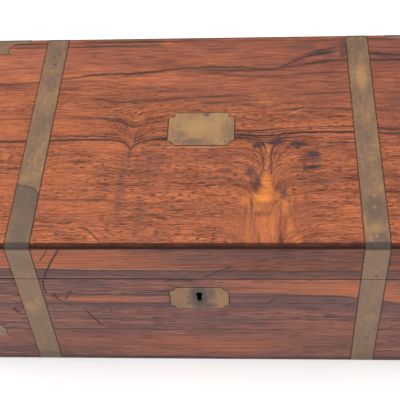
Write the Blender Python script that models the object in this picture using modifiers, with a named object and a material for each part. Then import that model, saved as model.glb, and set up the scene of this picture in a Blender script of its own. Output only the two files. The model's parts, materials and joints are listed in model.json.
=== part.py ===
"""A brass-bound rosewood lap desk (a writing slope), shut, in metres with +Z up.

The box stands on its underside with the lock side facing -Y. A slanting seam splits it into a base and a
lid. The lid is hinged along the back, so the two open flat into one long slope for writing.
"""
from math import asin, atan2, cos, degrees, pi, radians, sin

import bmesh
import bpy
from mathutils import Matrix, Vector

# The box
BOX_WIDTH = 0.406
BOX_DEPTH = 0.245
BOX_HEIGHT = 0.1615
WALL = 0.010
TOP_BOARD = 0.010
BOTTOM_BOARD = 0.008
ARRIS_RADIUS = 0.0024
ARRIS_STEPS = 4
SEAM_FRONT_HEIGHT = 0.1203

# Clearances
SEAM_GAP = 0.0004
GLUE_LINE = 0.0003
SEAT_GAP = 0.0003
RUNNING_GAP = 0.0003
LOOSE_FIT = 0.0005
OVERCUT = 0.004
LEAST_RADIUS = 0.0002
ROUND_PROFILE = 0.5

# Brass let into the outside
BRASS = 0.0015
BRASS_PROUD = 0.0002
STRAP_WIDTH = 0.019
STRAP_INSET = 0.0658
STRAP_FOOT = 0.0005
BRACKET_BODY = 0.0208
BRACKET_ARM_WIDTH = 0.0068
BRACKET_HOLLOW = 0.0082
BRACKET_TIP = 0.0108
BRACKET_TIP_DOWN = 0.0030
CORNER_PLATE_REACH = 0.0340
CORNER_PLATE_LOW = 0.0365
CORNER_PLATE_HEIGHT = 0.0168
CORNER_NOTCH_WIDTH = 0.0016
CORNER_NOTCH_HEIGHT = 0.0042
NAME_PLATE_WIDTH = 0.0558
NAME_PLATE_DEPTH = 0.0382
NAME_PLATE_NOTCH = 0.0052
NAME_PLATE_BACK = 0.0028
ESCUTCHEON_WIDTH = 0.0474
ESCUTCHEON_HEIGHT = 0.0292
ESCUTCHEON_NOTCH = 0.0048
ESCUTCHEON_BELOW_SEAM = 0.0263
KEYHOLE_ROUND = 0.0056
KEYHOLE_SLOT = 0.0036
KEYHOLE_BELOW_SEAM = 0.0210
KEYHOLE_DROP = 0.0095
ARC_STEPS = 6

# Hinges
HINGE_SETBACK = 0.0006
HINGE_LENGTH = 0.046
HINGE_INSET = 0.108
HINGE_KNUCKLES = 5
KNUCKLE_RADIUS = 0.0026
HINGE_PIN_RADIUS = 0.0012
LEAF = 0.0016
LEAF_WIDTH = 0.0088
ROUND_STEPS = 20

# Lock
LOCK_WIDTH = 0.053
LOCK_DEPTH = 0.0064
LOCK_SHEET = 0.0011
LOCK_BELOW_KEYHOLE = 0.0150
LOCK_PLATE = 0.0020
LOCK_PLATE_LENGTH = 0.062
LOCK_PLATE_INSET = 0.0032
LINK_SPACING = 0.026
LINK_STEM = 0.0030
LINK = 0.0020
LINK_DROP = 0.0093
BARB = 0.0030
BARB_NOSE = 0.0010
HOOK = 0.0024
HOOK_PLAY = 0.0008
HOOK_LIFT = 0.0005
FINGER = 0.0038
BOLT = 0.0034
BOLT_BAR = 0.0056
BOLT_TAIL = 0.0110
TALON_WIDTH = 0.0056
TALON_DEPTH = 0.0014
STUD_RADIUS = 0.0012
STUD_SPACING = 0.022
DRILL_PIN_RADIUS = 0.0011
DRILL_PIN_LENGTH = 0.0070

# Inside
PEN_BAY = 0.052
THIN_BOARD = 0.005
INK_BAY = 0.050
INK_FLOOR_HEIGHT = 0.065
INK_DIVIDER_DROP = 0.0030
TRAY_DROP = 0.0100
TRAY_HEIGHT = 0.018
TRAY_REST = 0.006
SCOOP_RIM = 0.0045
SCOOP_FLOOR = 0.0040
SCOOP_ROUND = 0.0120
FLAP = 0.007
LEATHER = 0.0010
LEATHER_DROP = 0.0006
TONGUE_TO_HINGE = 0.012
LEATHER_EDGE = 0.0035
LEDGE_WIDTH = 0.008
LEDGE_DEPTH = 0.006
INKWELL_WIDTH = 0.042
INKWELL_BODY = 0.029
INKWELL_EDGE = 0.0030
INKWELL_WALL = 0.0045
INKWELL_SHOULDER = 0.0050
INKWELL_THROAT = 0.0012
NECK_RADIUS = 0.0115
NECK_HEIGHT = 0.0050
NECK_WALL = 0.0030
CAP_RADIUS = 0.0155
CAP_HEIGHT = 0.0090
CAP_SHEET = 0.0014
CAP_DOME = 0.0016
CAP_CROWN_RADIUS = 0.0085
CAP_CROWN_DROP = 0.0005
CAP_STEPS = 32

# Places worked out from those sizes
FRONT = -BOX_DEPTH / 2
BACK = BOX_DEPTH / 2
LEFT = -BOX_WIDTH / 2
RIGHT = BOX_WIDTH / 2
INNER_FRONT = FRONT + WALL
INNER_BACK = BACK - WALL
INNER_LEFT = LEFT + WALL
INNER_RIGHT = RIGHT - WALL
INLAY = BRASS - BRASS_PROUD
ESCUTCHEON_MIDDLE = SEAM_FRONT_HEIGHT - ESCUTCHEON_BELOW_SEAM
KEYHOLE_HEIGHT = SEAM_FRONT_HEIGHT - KEYHOLE_BELOW_SEAM
HINGE_X = RIGHT - HINGE_INSET
HINGE_Y = BACK + HINGE_SETBACK
HINGE_Z = (BOX_HEIGHT + BRASS_PROUD) / 2
SLOPE = atan2(SEAM_FRONT_HEIGHT - HINGE_Z, HINGE_Y - FRONT)
SEAM_FRAME = Matrix.Translation((0, HINGE_Y, HINGE_Z)) @ Matrix.Rotation(-SLOPE, 4, "X")
SEAM_NORMAL = Vector((0, sin(SLOPE), cos(SLOPE)))
RIM = SEAM_GAP / 2
BAY_BACK = INNER_FRONT + PEN_BAY
DIVIDER_BACK = BAY_BACK + THIN_BOARD
UPRIGHT = Matrix.Rotation(pi / 2, 4, "X")
BASE_SIDE = -1
LID_SIDE = 1
SIDES = {"left": -1, "right": 1}
ENDS = {"front": -1, "back": 1}


# A clean file, two collections and the finishes

for old in list(bpy.data.objects):
    bpy.data.objects.remove(old)

DESK = bpy.data.collections.new("lap_desk")
CUTTERS = bpy.data.collections.new("cutters")
bpy.context.scene.collection.children.link(DESK)
bpy.context.scene.collection.children.link(CUTTERS)


def finish(name, colour, roughness, metallic=0.0):
    made = bpy.data.materials.new(name)
    made.use_nodes = True
    shader = made.node_tree.nodes["Principled BSDF"]
    shader.inputs["Base Color"].default_value = (*colour, 1.0)
    shader.inputs["Roughness"].default_value = roughness
    shader.inputs["Metallic"].default_value = metallic
    return made


ROSEWOOD = finish("rosewood", (0.20, 0.055, 0.025), 0.35)
MAHOGANY = finish("mahogany", (0.16, 0.06, 0.03), 0.5)
OLD_BRASS = finish("old_brass", (0.30, 0.21, 0.11), 0.45, 1.0)
LEATHER_SKIN = finish("leather", (0.02, 0.05, 0.03), 0.6)
GLASS = finish("glass", (0.75, 0.82, 0.80), 0.05)


# Carriers: the base, its slope, the lid on its hinge axis

def carrier(name, frame):
    empty = bpy.data.objects.new(name, None)
    empty.matrix_world = frame
    DESK.objects.link(empty)
    return empty


BASE = carrier("base_carrier", Matrix())
BASE_SLOPE = carrier("base_slope_carrier", SEAM_FRAME)
LID = carrier("lid_carrier", SEAM_FRAME)


# Helpers

def mesh_of(shape, name):
    """Turns a bmesh into a mesh with its faces pointing out."""
    bmesh.ops.recalc_face_normals(shape, faces=shape.faces)
    mesh = bpy.data.meshes.new(name)
    shape.to_mesh(mesh)
    shape.free()
    return mesh


def add(name, mesh, material, rides_on, in_carrier=False):
    """Adds a piece. Its mesh is in the box's frame, or in its carrier's own if in_carrier is set."""
    piece = bpy.data.objects.new(name, mesh)
    mesh.name = name
    mesh.materials.append(material)
    DESK.objects.link(piece)
    piece.parent = rides_on
    if not in_carrier:
        piece.matrix_parent_inverse = rides_on.matrix_world.inverted()
    return piece


def cutter(name, mesh, rides_on, frame=Matrix()):
    """Adds a cutting tool. It rides on the carrier of the piece that it shapes, so that the lid can swing."""
    tool = bpy.data.objects.new(name, mesh)
    tool.hide_render = True
    tool.display_type = "WIRE"
    CUTTERS.objects.link(tool)
    tool.parent = rides_on
    tool.matrix_parent_inverse = rides_on.matrix_world.inverted()
    tool.matrix_basis = frame
    return tool


def change(piece, tool, operation="DIFFERENCE"):
    step = piece.modifiers.new(tool.name, "BOOLEAN")
    step.operation = operation
    step.object = tool


def box(low, high):
    shape = bmesh.new()
    bmesh.ops.create_cube(shape, size=1.0)
    low = Vector(low)
    high = Vector(high)
    bmesh.ops.scale(shape, vec=high - low, verts=shape.verts)
    bmesh.ops.translate(shape, vec=(low + high) / 2, verts=shape.verts)
    return shape


def rod(radius, start, end, along="X", steps=ROUND_STEPS):
    """A round bar from start to end on one axis of its own frame."""
    shape = bmesh.new()
    bmesh.ops.create_cone(
        shape, cap_ends=True, segments=steps, radius1=radius, radius2=radius, depth=end - start
    )
    bmesh.ops.translate(shape, vec=(0, 0, (start + end) / 2), verts=shape.verts)
    turns = {"X": Matrix.Rotation(pi / 2, 4, "Y"), "Y": Matrix.Rotation(-pi / 2, 4, "X"), "Z": Matrix()}
    bmesh.ops.transform(shape, matrix=turns[along], verts=shape.verts)
    return shape


def rounded_box(grow, foot=0.0):
    """The whole shut box as one solid with worn arrises, grown on every face but its underside."""
    reach = Vector((BOX_WIDTH / 2 + grow, BOX_DEPTH / 2 + grow))
    shape = box((-reach.x, -reach.y, foot), (reach.x, reach.y, BOX_HEIGHT + grow))
    arrises = [edge for edge in shape.edges if max(v.co.z for v in edge.verts) > BOX_HEIGHT / 2]
    radius = max(ARRIS_RADIUS + grow, LEAST_RADIUS)
    bmesh.ops.bevel(
        shape, geom=arrises, offset=radius, segments=ARRIS_STEPS, profile=ROUND_PROFILE, affect="EDGES"
    )
    return shape


def cut_along(shape, planes):
    """Cuts a convex solid off outside each plane (a point and its outward direction) and caps the cuts."""
    for point, outward in planes:
        every = shape.verts[:] + shape.edges[:] + shape.faces[:]
        bmesh.ops.bisect_plane(
            shape, geom=every, dist=1e-6, plane_co=point, plane_no=outward, clear_outer=True
        )
        rim = [edge for edge in shape.edges if edge.is_boundary]
        if rim:
            bmesh.ops.edgeloop_fill(shape, edges=rim)
    return shape


def within(x=None, y=None, z=None):
    """Planes that keep what lies between two places on an axis; None leaves that side open."""
    planes = []
    for axis, limits in enumerate((x, y, z)):
        for place, side in zip(limits or (None, None), (-1, 1)):
            if place is not None:
                outward = Vector((0, 0, 0))
                outward[axis] = side
                planes.append((outward * side * place, outward))
    return planes


def seam_layer(side, near, far=None):
    """Planes that keep a layer of the base or the lid, by its distances from the seam."""
    middle = Vector((0, HINGE_Y, HINGE_Z))
    outward = SEAM_NORMAL * side
    planes = [(middle + outward * near, -outward)]
    if far is not None:
        planes.append((middle + outward * far, outward))
    return planes


FACES = {
    "front": (Vector((0, FRONT, 0)), Vector((0, 1, 0)), WALL),
    "back": (Vector((0, BACK, 0)), Vector((0, -1, 0)), WALL),
    "left": (Vector((LEFT, 0, 0)), Vector((1, 0, 0)), WALL),
    "right": (Vector((RIGHT, 0, 0)), Vector((-1, 0, 0)), WALL),
    "top": (Vector((0, 0, BOX_HEIGHT)), Vector((0, 0, -1)), TOP_BOARD),
}


def wall_board(face, neighbours):
    """The outer layer of one face of the box, mitred against its neighbours."""
    place, inward, thickness = FACES[face]
    planes = [(place + inward * thickness, inward)]
    for other in neighbours:
        other_place, other_inward, other_thickness = FACES[other]
        across = (inward / thickness - other_inward / other_thickness).normalized()
        planes.append((place + other_place - across * GLUE_LINE / 2, across))
    return planes


def flat_piece(loops, low, high):
    """A flat outline, with any holes as further loops, made solid between two heights."""
    curve = bpy.data.curves.new("outline", "CURVE")
    curve.dimensions = "2D"
    curve.fill_mode = "BOTH"
    curve.extrude = (high - low) / 2
    for points in loops:
        line = curve.splines.new("POLY")
        line.points.add(len(points) - 1)
        for knot, (x, y) in zip(line.points, points):
            knot.co = (x, y, 0, 1)
        line.use_cyclic_u = True
    holder = bpy.data.objects.new("outline", curve)
    CUTTERS.objects.link(holder)
    bpy.context.view_layer.update()
    seen = holder.evaluated_get(bpy.context.evaluated_depsgraph_get())
    flat = bpy.data.meshes.new_from_object(seen)
    bpy.data.objects.remove(holder)
    shape = bmesh.new()
    shape.from_mesh(flat)
    bpy.data.meshes.remove(flat)
    bmesh.ops.remove_doubles(shape, verts=shape.verts, dist=1e-6)
    bmesh.ops.translate(shape, vec=(0, 0, (low + high) / 2), verts=shape.verts)
    return shape


def placed(shape, frame):
    bmesh.ops.transform(shape, matrix=frame, verts=shape.verts)
    return shape


def arc(middle, radius, start, end, steps=ARC_STEPS):
    """Points along an arc between two angles in degrees, both ends included."""
    points = []
    for step in range(steps + 1):
        angle = radians(start + (end - start) * step / steps)
        points.append((middle[0] + radius * cos(angle), middle[1] + radius * sin(angle)))
    return points


def rectangle(x0, y0, x1, y1):
    return [(x0, y0), (x1, y0), (x1, y1), (x0, y1)]


def notched_plate(width, height, notch, round_corners):
    """A plate outline with a square or hollow notch in each corner, anticlockwise from the lower left."""
    points = []
    signs = {"lower_left": (-1, -1), "lower_right": (1, -1), "upper_right": (1, 1), "upper_left": (-1, 1)}
    for turn, (corner, (sx, sy)) in enumerate(signs.items()):
        x = sx * width / 2
        y = sy * height / 2
        if corner in round_corners:
            points += arc((x, y), notch, 90 * (turn + 1), 90 * turn)
        elif sx == sy:
            points += [(x, y - sy * notch), (x - sx * notch, y - sy * notch), (x - sx * notch, y)]
        else:
            points += [(x - sx * notch, y), (x - sx * notch, y - sy * notch), (x, y - sy * notch)]
    return points


def turned(profile):
    """A solid of revolution from a profile of (radius, height) that runs down its outer side."""
    shape = bmesh.new()
    line = [shape.verts.new((radius, 0, height)) for radius, height in profile]
    for start, end in zip(line, line[1:]):
        shape.edges.new((start, end))
    mesh = bpy.data.meshes.new("profile")
    shape.to_mesh(mesh)
    shape.free()
    return mesh


def spin(piece, steps):
    step = piece.modifiers.new("turned", "SCREW")
    step.axis = "Z"
    step.steps = steps
    step.render_steps = steps
    step.use_merge_vertices = True
    step.merge_threshold = 1e-5
    step.use_smooth_shade = True


# The boards of the box

def carved(name, planes, material, rides_on):
    """A board cut by planes from the solid of the whole box."""
    return add(name, mesh_of(cut_along(rounded_box(0.0), planes), name), material, rides_on)


WALL_NEIGHBOURS = {
    "front": ("left", "right"),
    "back": ("left", "right"),
    "left": ("front", "back"),
    "right": ("front", "back"),
}

base_boards = {}
lid_boards = {}
for face, neighbours in WALL_NEIGHBOURS.items():
    side_word = "_side" if face in SIDES else ""
    base_planes = wall_board(face, neighbours) + seam_layer(BASE_SIDE, RIM)
    base_boards[face] = carved(f"base_{face}{side_word}", base_planes, ROSEWOOD, BASE)
    lid_planes = wall_board(face, neighbours + ("top",)) + seam_layer(LID_SIDE, RIM)
    lid_boards[face] = carved(f"lid_{face}{side_word}", lid_planes, ROSEWOOD, LID)
lid_boards["top"] = carved("lid_top", wall_board("top", tuple(WALL_NEIGHBOURS)), ROSEWOOD, LID)

inner_x = (INNER_LEFT + GLUE_LINE, INNER_RIGHT - GLUE_LINE)
inner_y = (INNER_FRONT + GLUE_LINE, INNER_BACK - GLUE_LINE)
carved("base_bottom", within(inner_x, inner_y, (None, BOTTOM_BOARD)), MAHOGANY, BASE)


# Brass wrapped round the arrises: straps, lid brackets and base corner plates

def bed(name, depth, rides_on):
    """The box shrunk to a depth under its faces: what is left over it is a skin of that thickness."""
    return cutter(name, mesh_of(rounded_box(-depth, -OVERCUT), name), rides_on)


brass_bed = {BASE: bed("base_brass_bed", INLAY, BASE), LID: bed("lid_brass_bed", INLAY, LID)}
recess_depth = INLAY + SEAT_GAP
recess_bed = {BASE: bed("base_recess_bed", recess_depth, BASE), LID: bed("lid_recess_bed", recess_depth, LID)}


def sheet_over_box(planes, grow):
    """The box grown by a height of brass and cut by planes, ready to be hollowed by a bed."""
    return cut_along(rounded_box(grow, -OVERCUT), planes)


def recess_cutter(name, planes, rides_on):
    tool = cutter(name, mesh_of(sheet_over_box(planes, OVERCUT), name), rides_on)
    change(tool, recess_bed[rides_on])
    return tool


for side, sign in SIDES.items():
    middle = sign * (RIGHT - STRAP_INSET)
    strap_x = (middle - STRAP_WIDTH / 2, middle + STRAP_WIDTH / 2)
    lid_planes = within(strap_x) + seam_layer(LID_SIDE, RIM)
    upper = mesh_of(sheet_over_box(lid_planes, BRASS_PROUD), "strap")
    strap = add(f"lid_strap_{side}", upper, OLD_BRASS, LID)
    change(strap, brass_bed[LID])
    for end, edge in ENDS.items():
        depth = (None, FRONT + INLAY) if edge < 0 else (BACK - INLAY, None)
        planes = within(strap_x, depth, (STRAP_FOOT, None)) + seam_layer(BASE_SIDE, RIM)
        lower = mesh_of(sheet_over_box(planes, BRASS_PROUD), "strap")
        add(f"base_strap_{end}_{side}", lower, OLD_BRASS, BASE)
    recess_x = (strap_x[0] - SEAT_GAP, strap_x[1] + SEAT_GAP)
    lid_recess = recess_cutter(f"lid_strap_recess_{side}", within(recess_x), LID)
    base_recess = recess_cutter(f"base_strap_recess_{side}", within(recess_x), BASE)
    change(lid_boards["top"], lid_recess)
    for end in ENDS:
        change(lid_boards[end], lid_recess)
        change(base_boards[end], base_recess)


def bracket_outline(tip_along, tip_other, grow):
    """One face of a bracket, from its corner: a square body with an arm along each edge, eased by hollows."""
    arm = BRACKET_ARM_WIDTH + grow
    body = BRACKET_BODY + grow
    hollow = min(BRACKET_HOLLOW, BRACKET_BODY - BRACKET_ARM_WIDTH) - grow
    end = body + hollow
    points = [(-OVERCUT, -OVERCUT), (end + tip_along + grow, -OVERCUT), (end + tip_along + grow, arm)]
    points += arc((end, arm + hollow), hollow, 270, 180)
    points.append((body, body))
    points += arc((arm + hollow, end), hollow, 270, 180)
    points += [(arm, end + tip_other + grow), (-OVERCUT, end + tip_other + grow)]
    return points


def bracket_mask(name, sx, sy, grow):
    """The three outlines of one bracket, each as deep as the arris is round, joined into one cutter."""
    corner = Vector((sx * BOX_WIDTH / 2, sy * BOX_DEPTH / 2, BOX_HEIGHT))
    along_x = Vector((-sx, 0, 0))
    along_y = Vector((0, -sy, 0))
    down = Vector((0, 0, -1))
    views = {
        "top": (along_x, along_y, down, BRACKET_TIP),
        "end": (along_x, down, along_y, BRACKET_TIP_DOWN),
        "side": (along_y, down, along_x, BRACKET_TIP_DOWN),
    }
    joined = None
    for view, (across, onward, inward, tip) in views.items():
        frame = Matrix((across, onward, inward)).transposed().to_4x4()
        frame.translation = corner
        outline = bracket_outline(BRACKET_TIP, tip, grow)
        prism = flat_piece([outline], -OVERCUT * 2, max(ARRIS_RADIUS, INLAY + SEAT_GAP) + grow)
        tool = cutter(f"{name}_{view}", mesh_of(placed(prism, frame), name), LID)
        if joined is None:
            joined = tool
        else:
            change(joined, tool, "UNION")
    return joined


for end, sy in ENDS.items():
    for side, sx in SIDES.items():
        bracket = add(
            f"lid_bracket_{end}_{side}", mesh_of(rounded_box(BRASS_PROUD), "bracket"), OLD_BRASS, LID
        )
        change(bracket, brass_bed[LID])
        change(bracket, bracket_mask(f"bracket_mask_{end}_{side}", sx, sy, 0.0), "INTERSECT")
        recess = recess_cutter(f"bracket_recess_{end}_{side}", [], LID)
        change(recess, bracket_mask(f"bracket_room_{end}_{side}", sx, sy, SEAT_GAP), "INTERSECT")
        for board in ("top", end, side):
            change(lid_boards[board], recess)


def corner_plate_planes(sx, sy, grow):
    reach_x = RIGHT - CORNER_PLATE_REACH - grow
    reach_y = BACK - CORNER_PLATE_REACH - grow
    x = (reach_x, None) if sx > 0 else (None, -reach_x)
    y = (reach_y, None) if sy > 0 else (None, -reach_y)
    return within(x, y, (CORNER_PLATE_LOW - grow, CORNER_PLATE_LOW + CORNER_PLATE_HEIGHT + grow))


def corner_notch(name, sx, sy, gap):
    """The steps in a corner plate's two upper tips, or with a gap the tongues of wood that fill them."""
    low = CORNER_PLATE_LOW + CORNER_PLATE_HEIGHT - CORNER_NOTCH_HEIGHT + gap
    high = low + CORNER_NOTCH_HEIGHT + OVERCUT
    tip = (CORNER_PLATE_REACH - CORNER_NOTCH_WIDTH + gap, CORNER_PLATE_REACH + OVERCUT)
    skin = (-2 * OVERCUT, OVERCUT)
    for face, (along_x, along_y) in {"end": (tip, skin), "side": (skin, tip)}.items():
        x = sorted(sx * (RIGHT - reach) for reach in along_x)
        y = sorted(sy * (BACK - reach) for reach in along_y)
        yield cutter(f"{name}_{face}", mesh_of(box((x[0], y[0], low), (x[1], y[1], high)), name), BASE)


for end, sy in ENDS.items():
    for side, sx in SIDES.items():
        shell = mesh_of(sheet_over_box(corner_plate_planes(sx, sy, 0.0), BRASS_PROUD), "corner_plate")
        plate = add(f"base_corner_plate_{end}_{side}", shell, OLD_BRASS, BASE)
        change(plate, brass_bed[BASE])
        for notch in corner_notch(f"corner_notch_{end}_{side}", sx, sy, 0.0):
            change(plate, notch)
        recess = recess_cutter(f"corner_recess_{end}_{side}", corner_plate_planes(sx, sy, SEAT_GAP), BASE)
        for tongue in corner_notch(f"corner_tongue_{end}_{side}", sx, sy, SEAT_GAP):
            change(recess, tongue)
        change(base_boards[end], recess)
        change(base_boards[side], recess)


# Flat plates: the name plate, and the escutcheon with its keyhole

NAME_PLATE_FRAME = Matrix.Translation((0, NAME_PLATE_BACK, BOX_HEIGHT))
ESCUTCHEON_FRAME = Matrix.Translation((0, FRONT, ESCUTCHEON_MIDDLE)) @ UPRIGHT


def inlaid_plate(name, outline, frame, board, rides_on):
    """A plate let into a board: outline(grow) gives its edge, grown for the recess."""
    plate = add(name, mesh_of(placed(flat_piece([outline(0.0)], -INLAY, BRASS_PROUD), frame), name),
                OLD_BRASS, rides_on)
    room = placed(flat_piece([outline(SEAT_GAP)], -INLAY - SEAT_GAP, OVERCUT), frame)
    change(board, cutter(f"{name}_recess", mesh_of(room, name), rides_on))
    return plate


def name_plate_outline(grow):
    lower = ("lower_left", "lower_right")
    return notched_plate(NAME_PLATE_WIDTH + 2 * grow, NAME_PLATE_DEPTH + 2 * grow, NAME_PLATE_NOTCH, lower)


def escutcheon_outline(grow):
    every = ("lower_left", "lower_right", "upper_right", "upper_left")
    return notched_plate(ESCUTCHEON_WIDTH + 2 * grow, ESCUTCHEON_HEIGHT + 2 * grow, ESCUTCHEON_NOTCH, every)


def keyhole_outline():
    """A round head over a slot with a round foot, about the middle of the head."""
    head = KEYHOLE_ROUND / 2
    half = KEYHOLE_SLOT / 2
    opening = degrees(asin(half / head))
    points = arc((0, 0), head, opening - 90, 270 - opening, 2 * ARC_STEPS)
    return points + arc((0, half - KEYHOLE_DROP), half, 180, 360)


inlaid_plate("name_plate", name_plate_outline, NAME_PLATE_FRAME, lid_boards["top"], LID)
escutcheon = inlaid_plate("escutcheon", escutcheon_outline, ESCUTCHEON_FRAME, base_boards["front"], BASE)

LOCK_FRONT = INNER_FRONT - LOCK_DEPTH
LOCK_MIDDLE = INNER_FRONT - LOCK_DEPTH / 2
LOCK_FOOT = KEYHOLE_HEIGHT - LOCK_BELOW_KEYHOLE
KEYHOLE_FRAME = Matrix.Translation((0, FRONT, KEYHOLE_HEIGHT)) @ UPRIGHT
keyhole_depth = LOCK_FRONT + LOCK_SHEET + SEAT_GAP - FRONT
keyhole = flat_piece([keyhole_outline()], -keyhole_depth, OVERCUT)
keyhole_cutter = cutter("keyhole", mesh_of(placed(keyhole, KEYHOLE_FRAME), "keyhole"), BASE)
change(escutcheon, keyhole_cutter)
change(base_boards["front"], keyhole_cutter)


# The lock: case, selvedge plate, bolt, and the link plate on the lid

def on_slope(y):
    """The place along the slope, from the hinge, of a point of the seam at depth y."""
    return (y - HINGE_Y) / cos(SLOPE)


LOCK_TOP = RIM + LOCK_PLATE + SEAT_GAP
PLATE_Y = (on_slope(FRONT + LOCK_PLATE_INSET), on_slope(INNER_FRONT - GLUE_LINE))
LINK_Y = on_slope(LOCK_MIDDLE + LINK_DROP / 2 * sin(SLOPE))
LINK_X = (-LINK_SPACING / 2, LINK_SPACING / 2)
BARB_TOP = (SEAM_FRAME @ Vector((0, LINK_Y, BARB - LINK_DROP))).z + LINK / 2 * sin(SLOPE)
BARB_FOOT = (SEAM_FRAME @ Vector((0, LINK_Y, -LINK_DROP))).z - LINK / 2 * sin(SLOPE)
BOLT_TRAVEL = BARB + HOOK_PLAY / 2
BAR_TOP = BARB_FOOT - HOOK_LIFT
BAR_FOOT = BAR_TOP - BOLT_BAR
STUD_HEIGHT = BAR_TOP - BOLT_BAR / 2
STUD_X = (-STUD_SPACING / 2, STUD_SPACING / 2)

lock_x = (-LOCK_WIDTH / 2, LOCK_WIDTH / 2)
case_planes = within(lock_x, (LOCK_FRONT, INNER_FRONT), (LOCK_FOOT, None)) + seam_layer(BASE_SIDE, LOCK_TOP)
lock_case = carved("lock_case", case_planes, OLD_BRASS, BASE)
hollow = box(
    (lock_x[0] + LOCK_SHEET, LOCK_FRONT + LOCK_SHEET, LOCK_FOOT + LOCK_SHEET),
    (lock_x[1] - LOCK_SHEET, INNER_FRONT - LOCK_SHEET, BOX_HEIGHT),
)
change(lock_case, cutter("lock_hollow", mesh_of(hollow, "lock_hollow"), BASE))
change(lock_case, keyhole_cutter)
stud_start = LOCK_FRONT + LOCK_SHEET + RUNNING_GAP
stud_end = INNER_FRONT - LOCK_SHEET / 2
for place, x in enumerate(STUD_X):
    stud = placed(rod(STUD_RADIUS, stud_start, stud_end, "Y"), Matrix.Translation((x, 0, STUD_HEIGHT)))
    change(lock_case, cutter(f"bolt_stud_{place}", mesh_of(stud, "bolt_stud"), BASE), "UNION")
drill_pin = rod(DRILL_PIN_RADIUS, stud_end - DRILL_PIN_LENGTH, stud_end, "Y")
drill_pin = placed(drill_pin, Matrix.Translation((0, 0, KEYHOLE_HEIGHT)))
change(lock_case, cutter("drill_pin", mesh_of(drill_pin, "drill_pin"), BASE), "UNION")

mortise = box(
    (lock_x[0] - SEAT_GAP, LOCK_FRONT - SEAT_GAP, LOCK_FOOT - SEAT_GAP),
    (lock_x[1] + SEAT_GAP, INNER_FRONT + OVERCUT, BOX_HEIGHT),
)
change(base_boards["front"], cutter("lock_mortise", mesh_of(mortise, "lock_mortise"), BASE))

plate_x = (-LOCK_PLATE_LENGTH / 2, LOCK_PLATE_LENGTH / 2)


def slope_cutter(name, shape, rides_on, x=0.0):
    """A cutting tool whose shape is given in the slope's frame, moved along the hinge axis by x."""
    return cutter(name, mesh_of(shape, name), rides_on, SEAM_FRAME @ Matrix.Translation((x, 0, 0)))


def rim_plate(side):
    """A plate let into the rim of the base or the lid, in the slope's frame."""
    heights = sorted((side * RIM, side * (RIM + LOCK_PLATE)))
    return box((plate_x[0], PLATE_Y[0], heights[0]), (plate_x[1], PLATE_Y[1], heights[1]))


def rim_plate_room(name, side, rides_on):
    heights = sorted((-side * OVERCUT, side * (RIM + LOCK_PLATE + SEAT_GAP)))
    low = (plate_x[0] - SEAT_GAP, PLATE_Y[0] - SEAT_GAP, heights[0])
    high = (plate_x[1] + SEAT_GAP, PLATE_Y[1] + OVERCUT, heights[1])
    return slope_cutter(name, box(low, high), rides_on)


lock_plate = add("lock_plate", mesh_of(rim_plate(BASE_SIDE), "lock_plate"), OLD_BRASS, BASE_SLOPE, True)
link_plate = add("link_plate", mesh_of(rim_plate(LID_SIDE), "link_plate"), OLD_BRASS, LID, True)
change(base_boards["front"], rim_plate_room("lock_plate_room", BASE_SIDE, BASE))
change(lid_boards["front"], rim_plate_room("link_plate_room", LID_SIDE, LID))
for place, x in enumerate(LINK_X):
    foot = -LINK_DROP
    link = [
        (x + LINK_STEM, RIM + LOCK_PLATE / 2), (x, RIM + LOCK_PLATE / 2), (x, foot + BARB),
        (x - BARB, foot + BARB), (x - BARB, foot + BARB_NOSE), (x - BARB_NOSE, foot), (x + LINK_STEM, foot),
    ]
    hooked = placed(flat_piece([link], -LINK / 2, LINK / 2), Matrix.Translation((0, LINK_Y, 0)) @ UPRIGHT)
    change(link_plate, slope_cutter(f"link_{place}", hooked, LID), "UNION")
    room_low = (x - BARB - HOOK_LIFT, LINK_Y - LINK / 2 - HOOK_LIFT, -OVERCUT)
    room_high = (x + LINK_STEM + HOOK_LIFT, LINK_Y + LINK / 2 + HOOK_LIFT, OVERCUT)
    change(lock_plate, slope_cutter(f"link_slot_{place}", box(room_low, room_high), BASE_SLOPE))


def bolt_outline():
    """The bolt's edge seen from the front: a bar with a talon, and two hooked fingers rising from it."""
    hook_foot = BARB_TOP + HOOK_LIFT
    hook_top = hook_foot + HOOK
    points = [(LINK_X[1] - BARB + BOLT_TAIL, BAR_FOOT), (LINK_X[1] - BARB + BOLT_TAIL, BAR_TOP)]
    for x in reversed(LINK_X):
        tip = x - BARB - HOOK_PLAY
        finger = tip - BOLT_TRAVEL
        points += [
            (finger, BAR_TOP), (finger, hook_foot), (tip, hook_foot), (tip, hook_top),
            (finger - FINGER, hook_top), (finger - FINGER, BAR_TOP),
        ]
    points[-1] = (points[-1][0], BAR_FOOT)
    talon = TALON_WIDTH / 2
    talon_top = BAR_FOOT + TALON_DEPTH
    return points + [(-talon, BAR_FOOT), (-talon, talon_top), (talon, talon_top), (talon, BAR_FOOT)]


def stud_slot(x):
    """A round-ended slot that lets the bolt slide along a stud by its travel."""
    radius = STUD_RADIUS + RUNNING_GAP
    right = arc((x, STUD_HEIGHT), radius, -90, 90)
    return right + arc((x - BOLT_TRAVEL, STUD_HEIGHT), radius, 90, 270)


BOLT_FRAME = Matrix.Translation((0, LOCK_MIDDLE, 0)) @ UPRIGHT
bolt = placed(flat_piece([bolt_outline(), *map(stud_slot, STUD_X)], -BOLT / 2, BOLT / 2), BOLT_FRAME)
add("lock_bolt", mesh_of(bolt, "lock_bolt"), OLD_BRASS, BASE)


# The hinges, in the slope's frame: their axis is the frame's X axis

def knuckle_spans():
    """The start and end of each knuckle along a hinge, and the side that carries it."""
    pitch = HINGE_LENGTH / HINGE_KNUCKLES
    for place in range(HINGE_KNUCKLES):
        start = -HINGE_LENGTH / 2 + place * pitch
        yield start + RUNNING_GAP / 2, start + pitch - RUNNING_GAP / 2, (BASE_SIDE, LID_SIDE)[place % 2]


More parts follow.
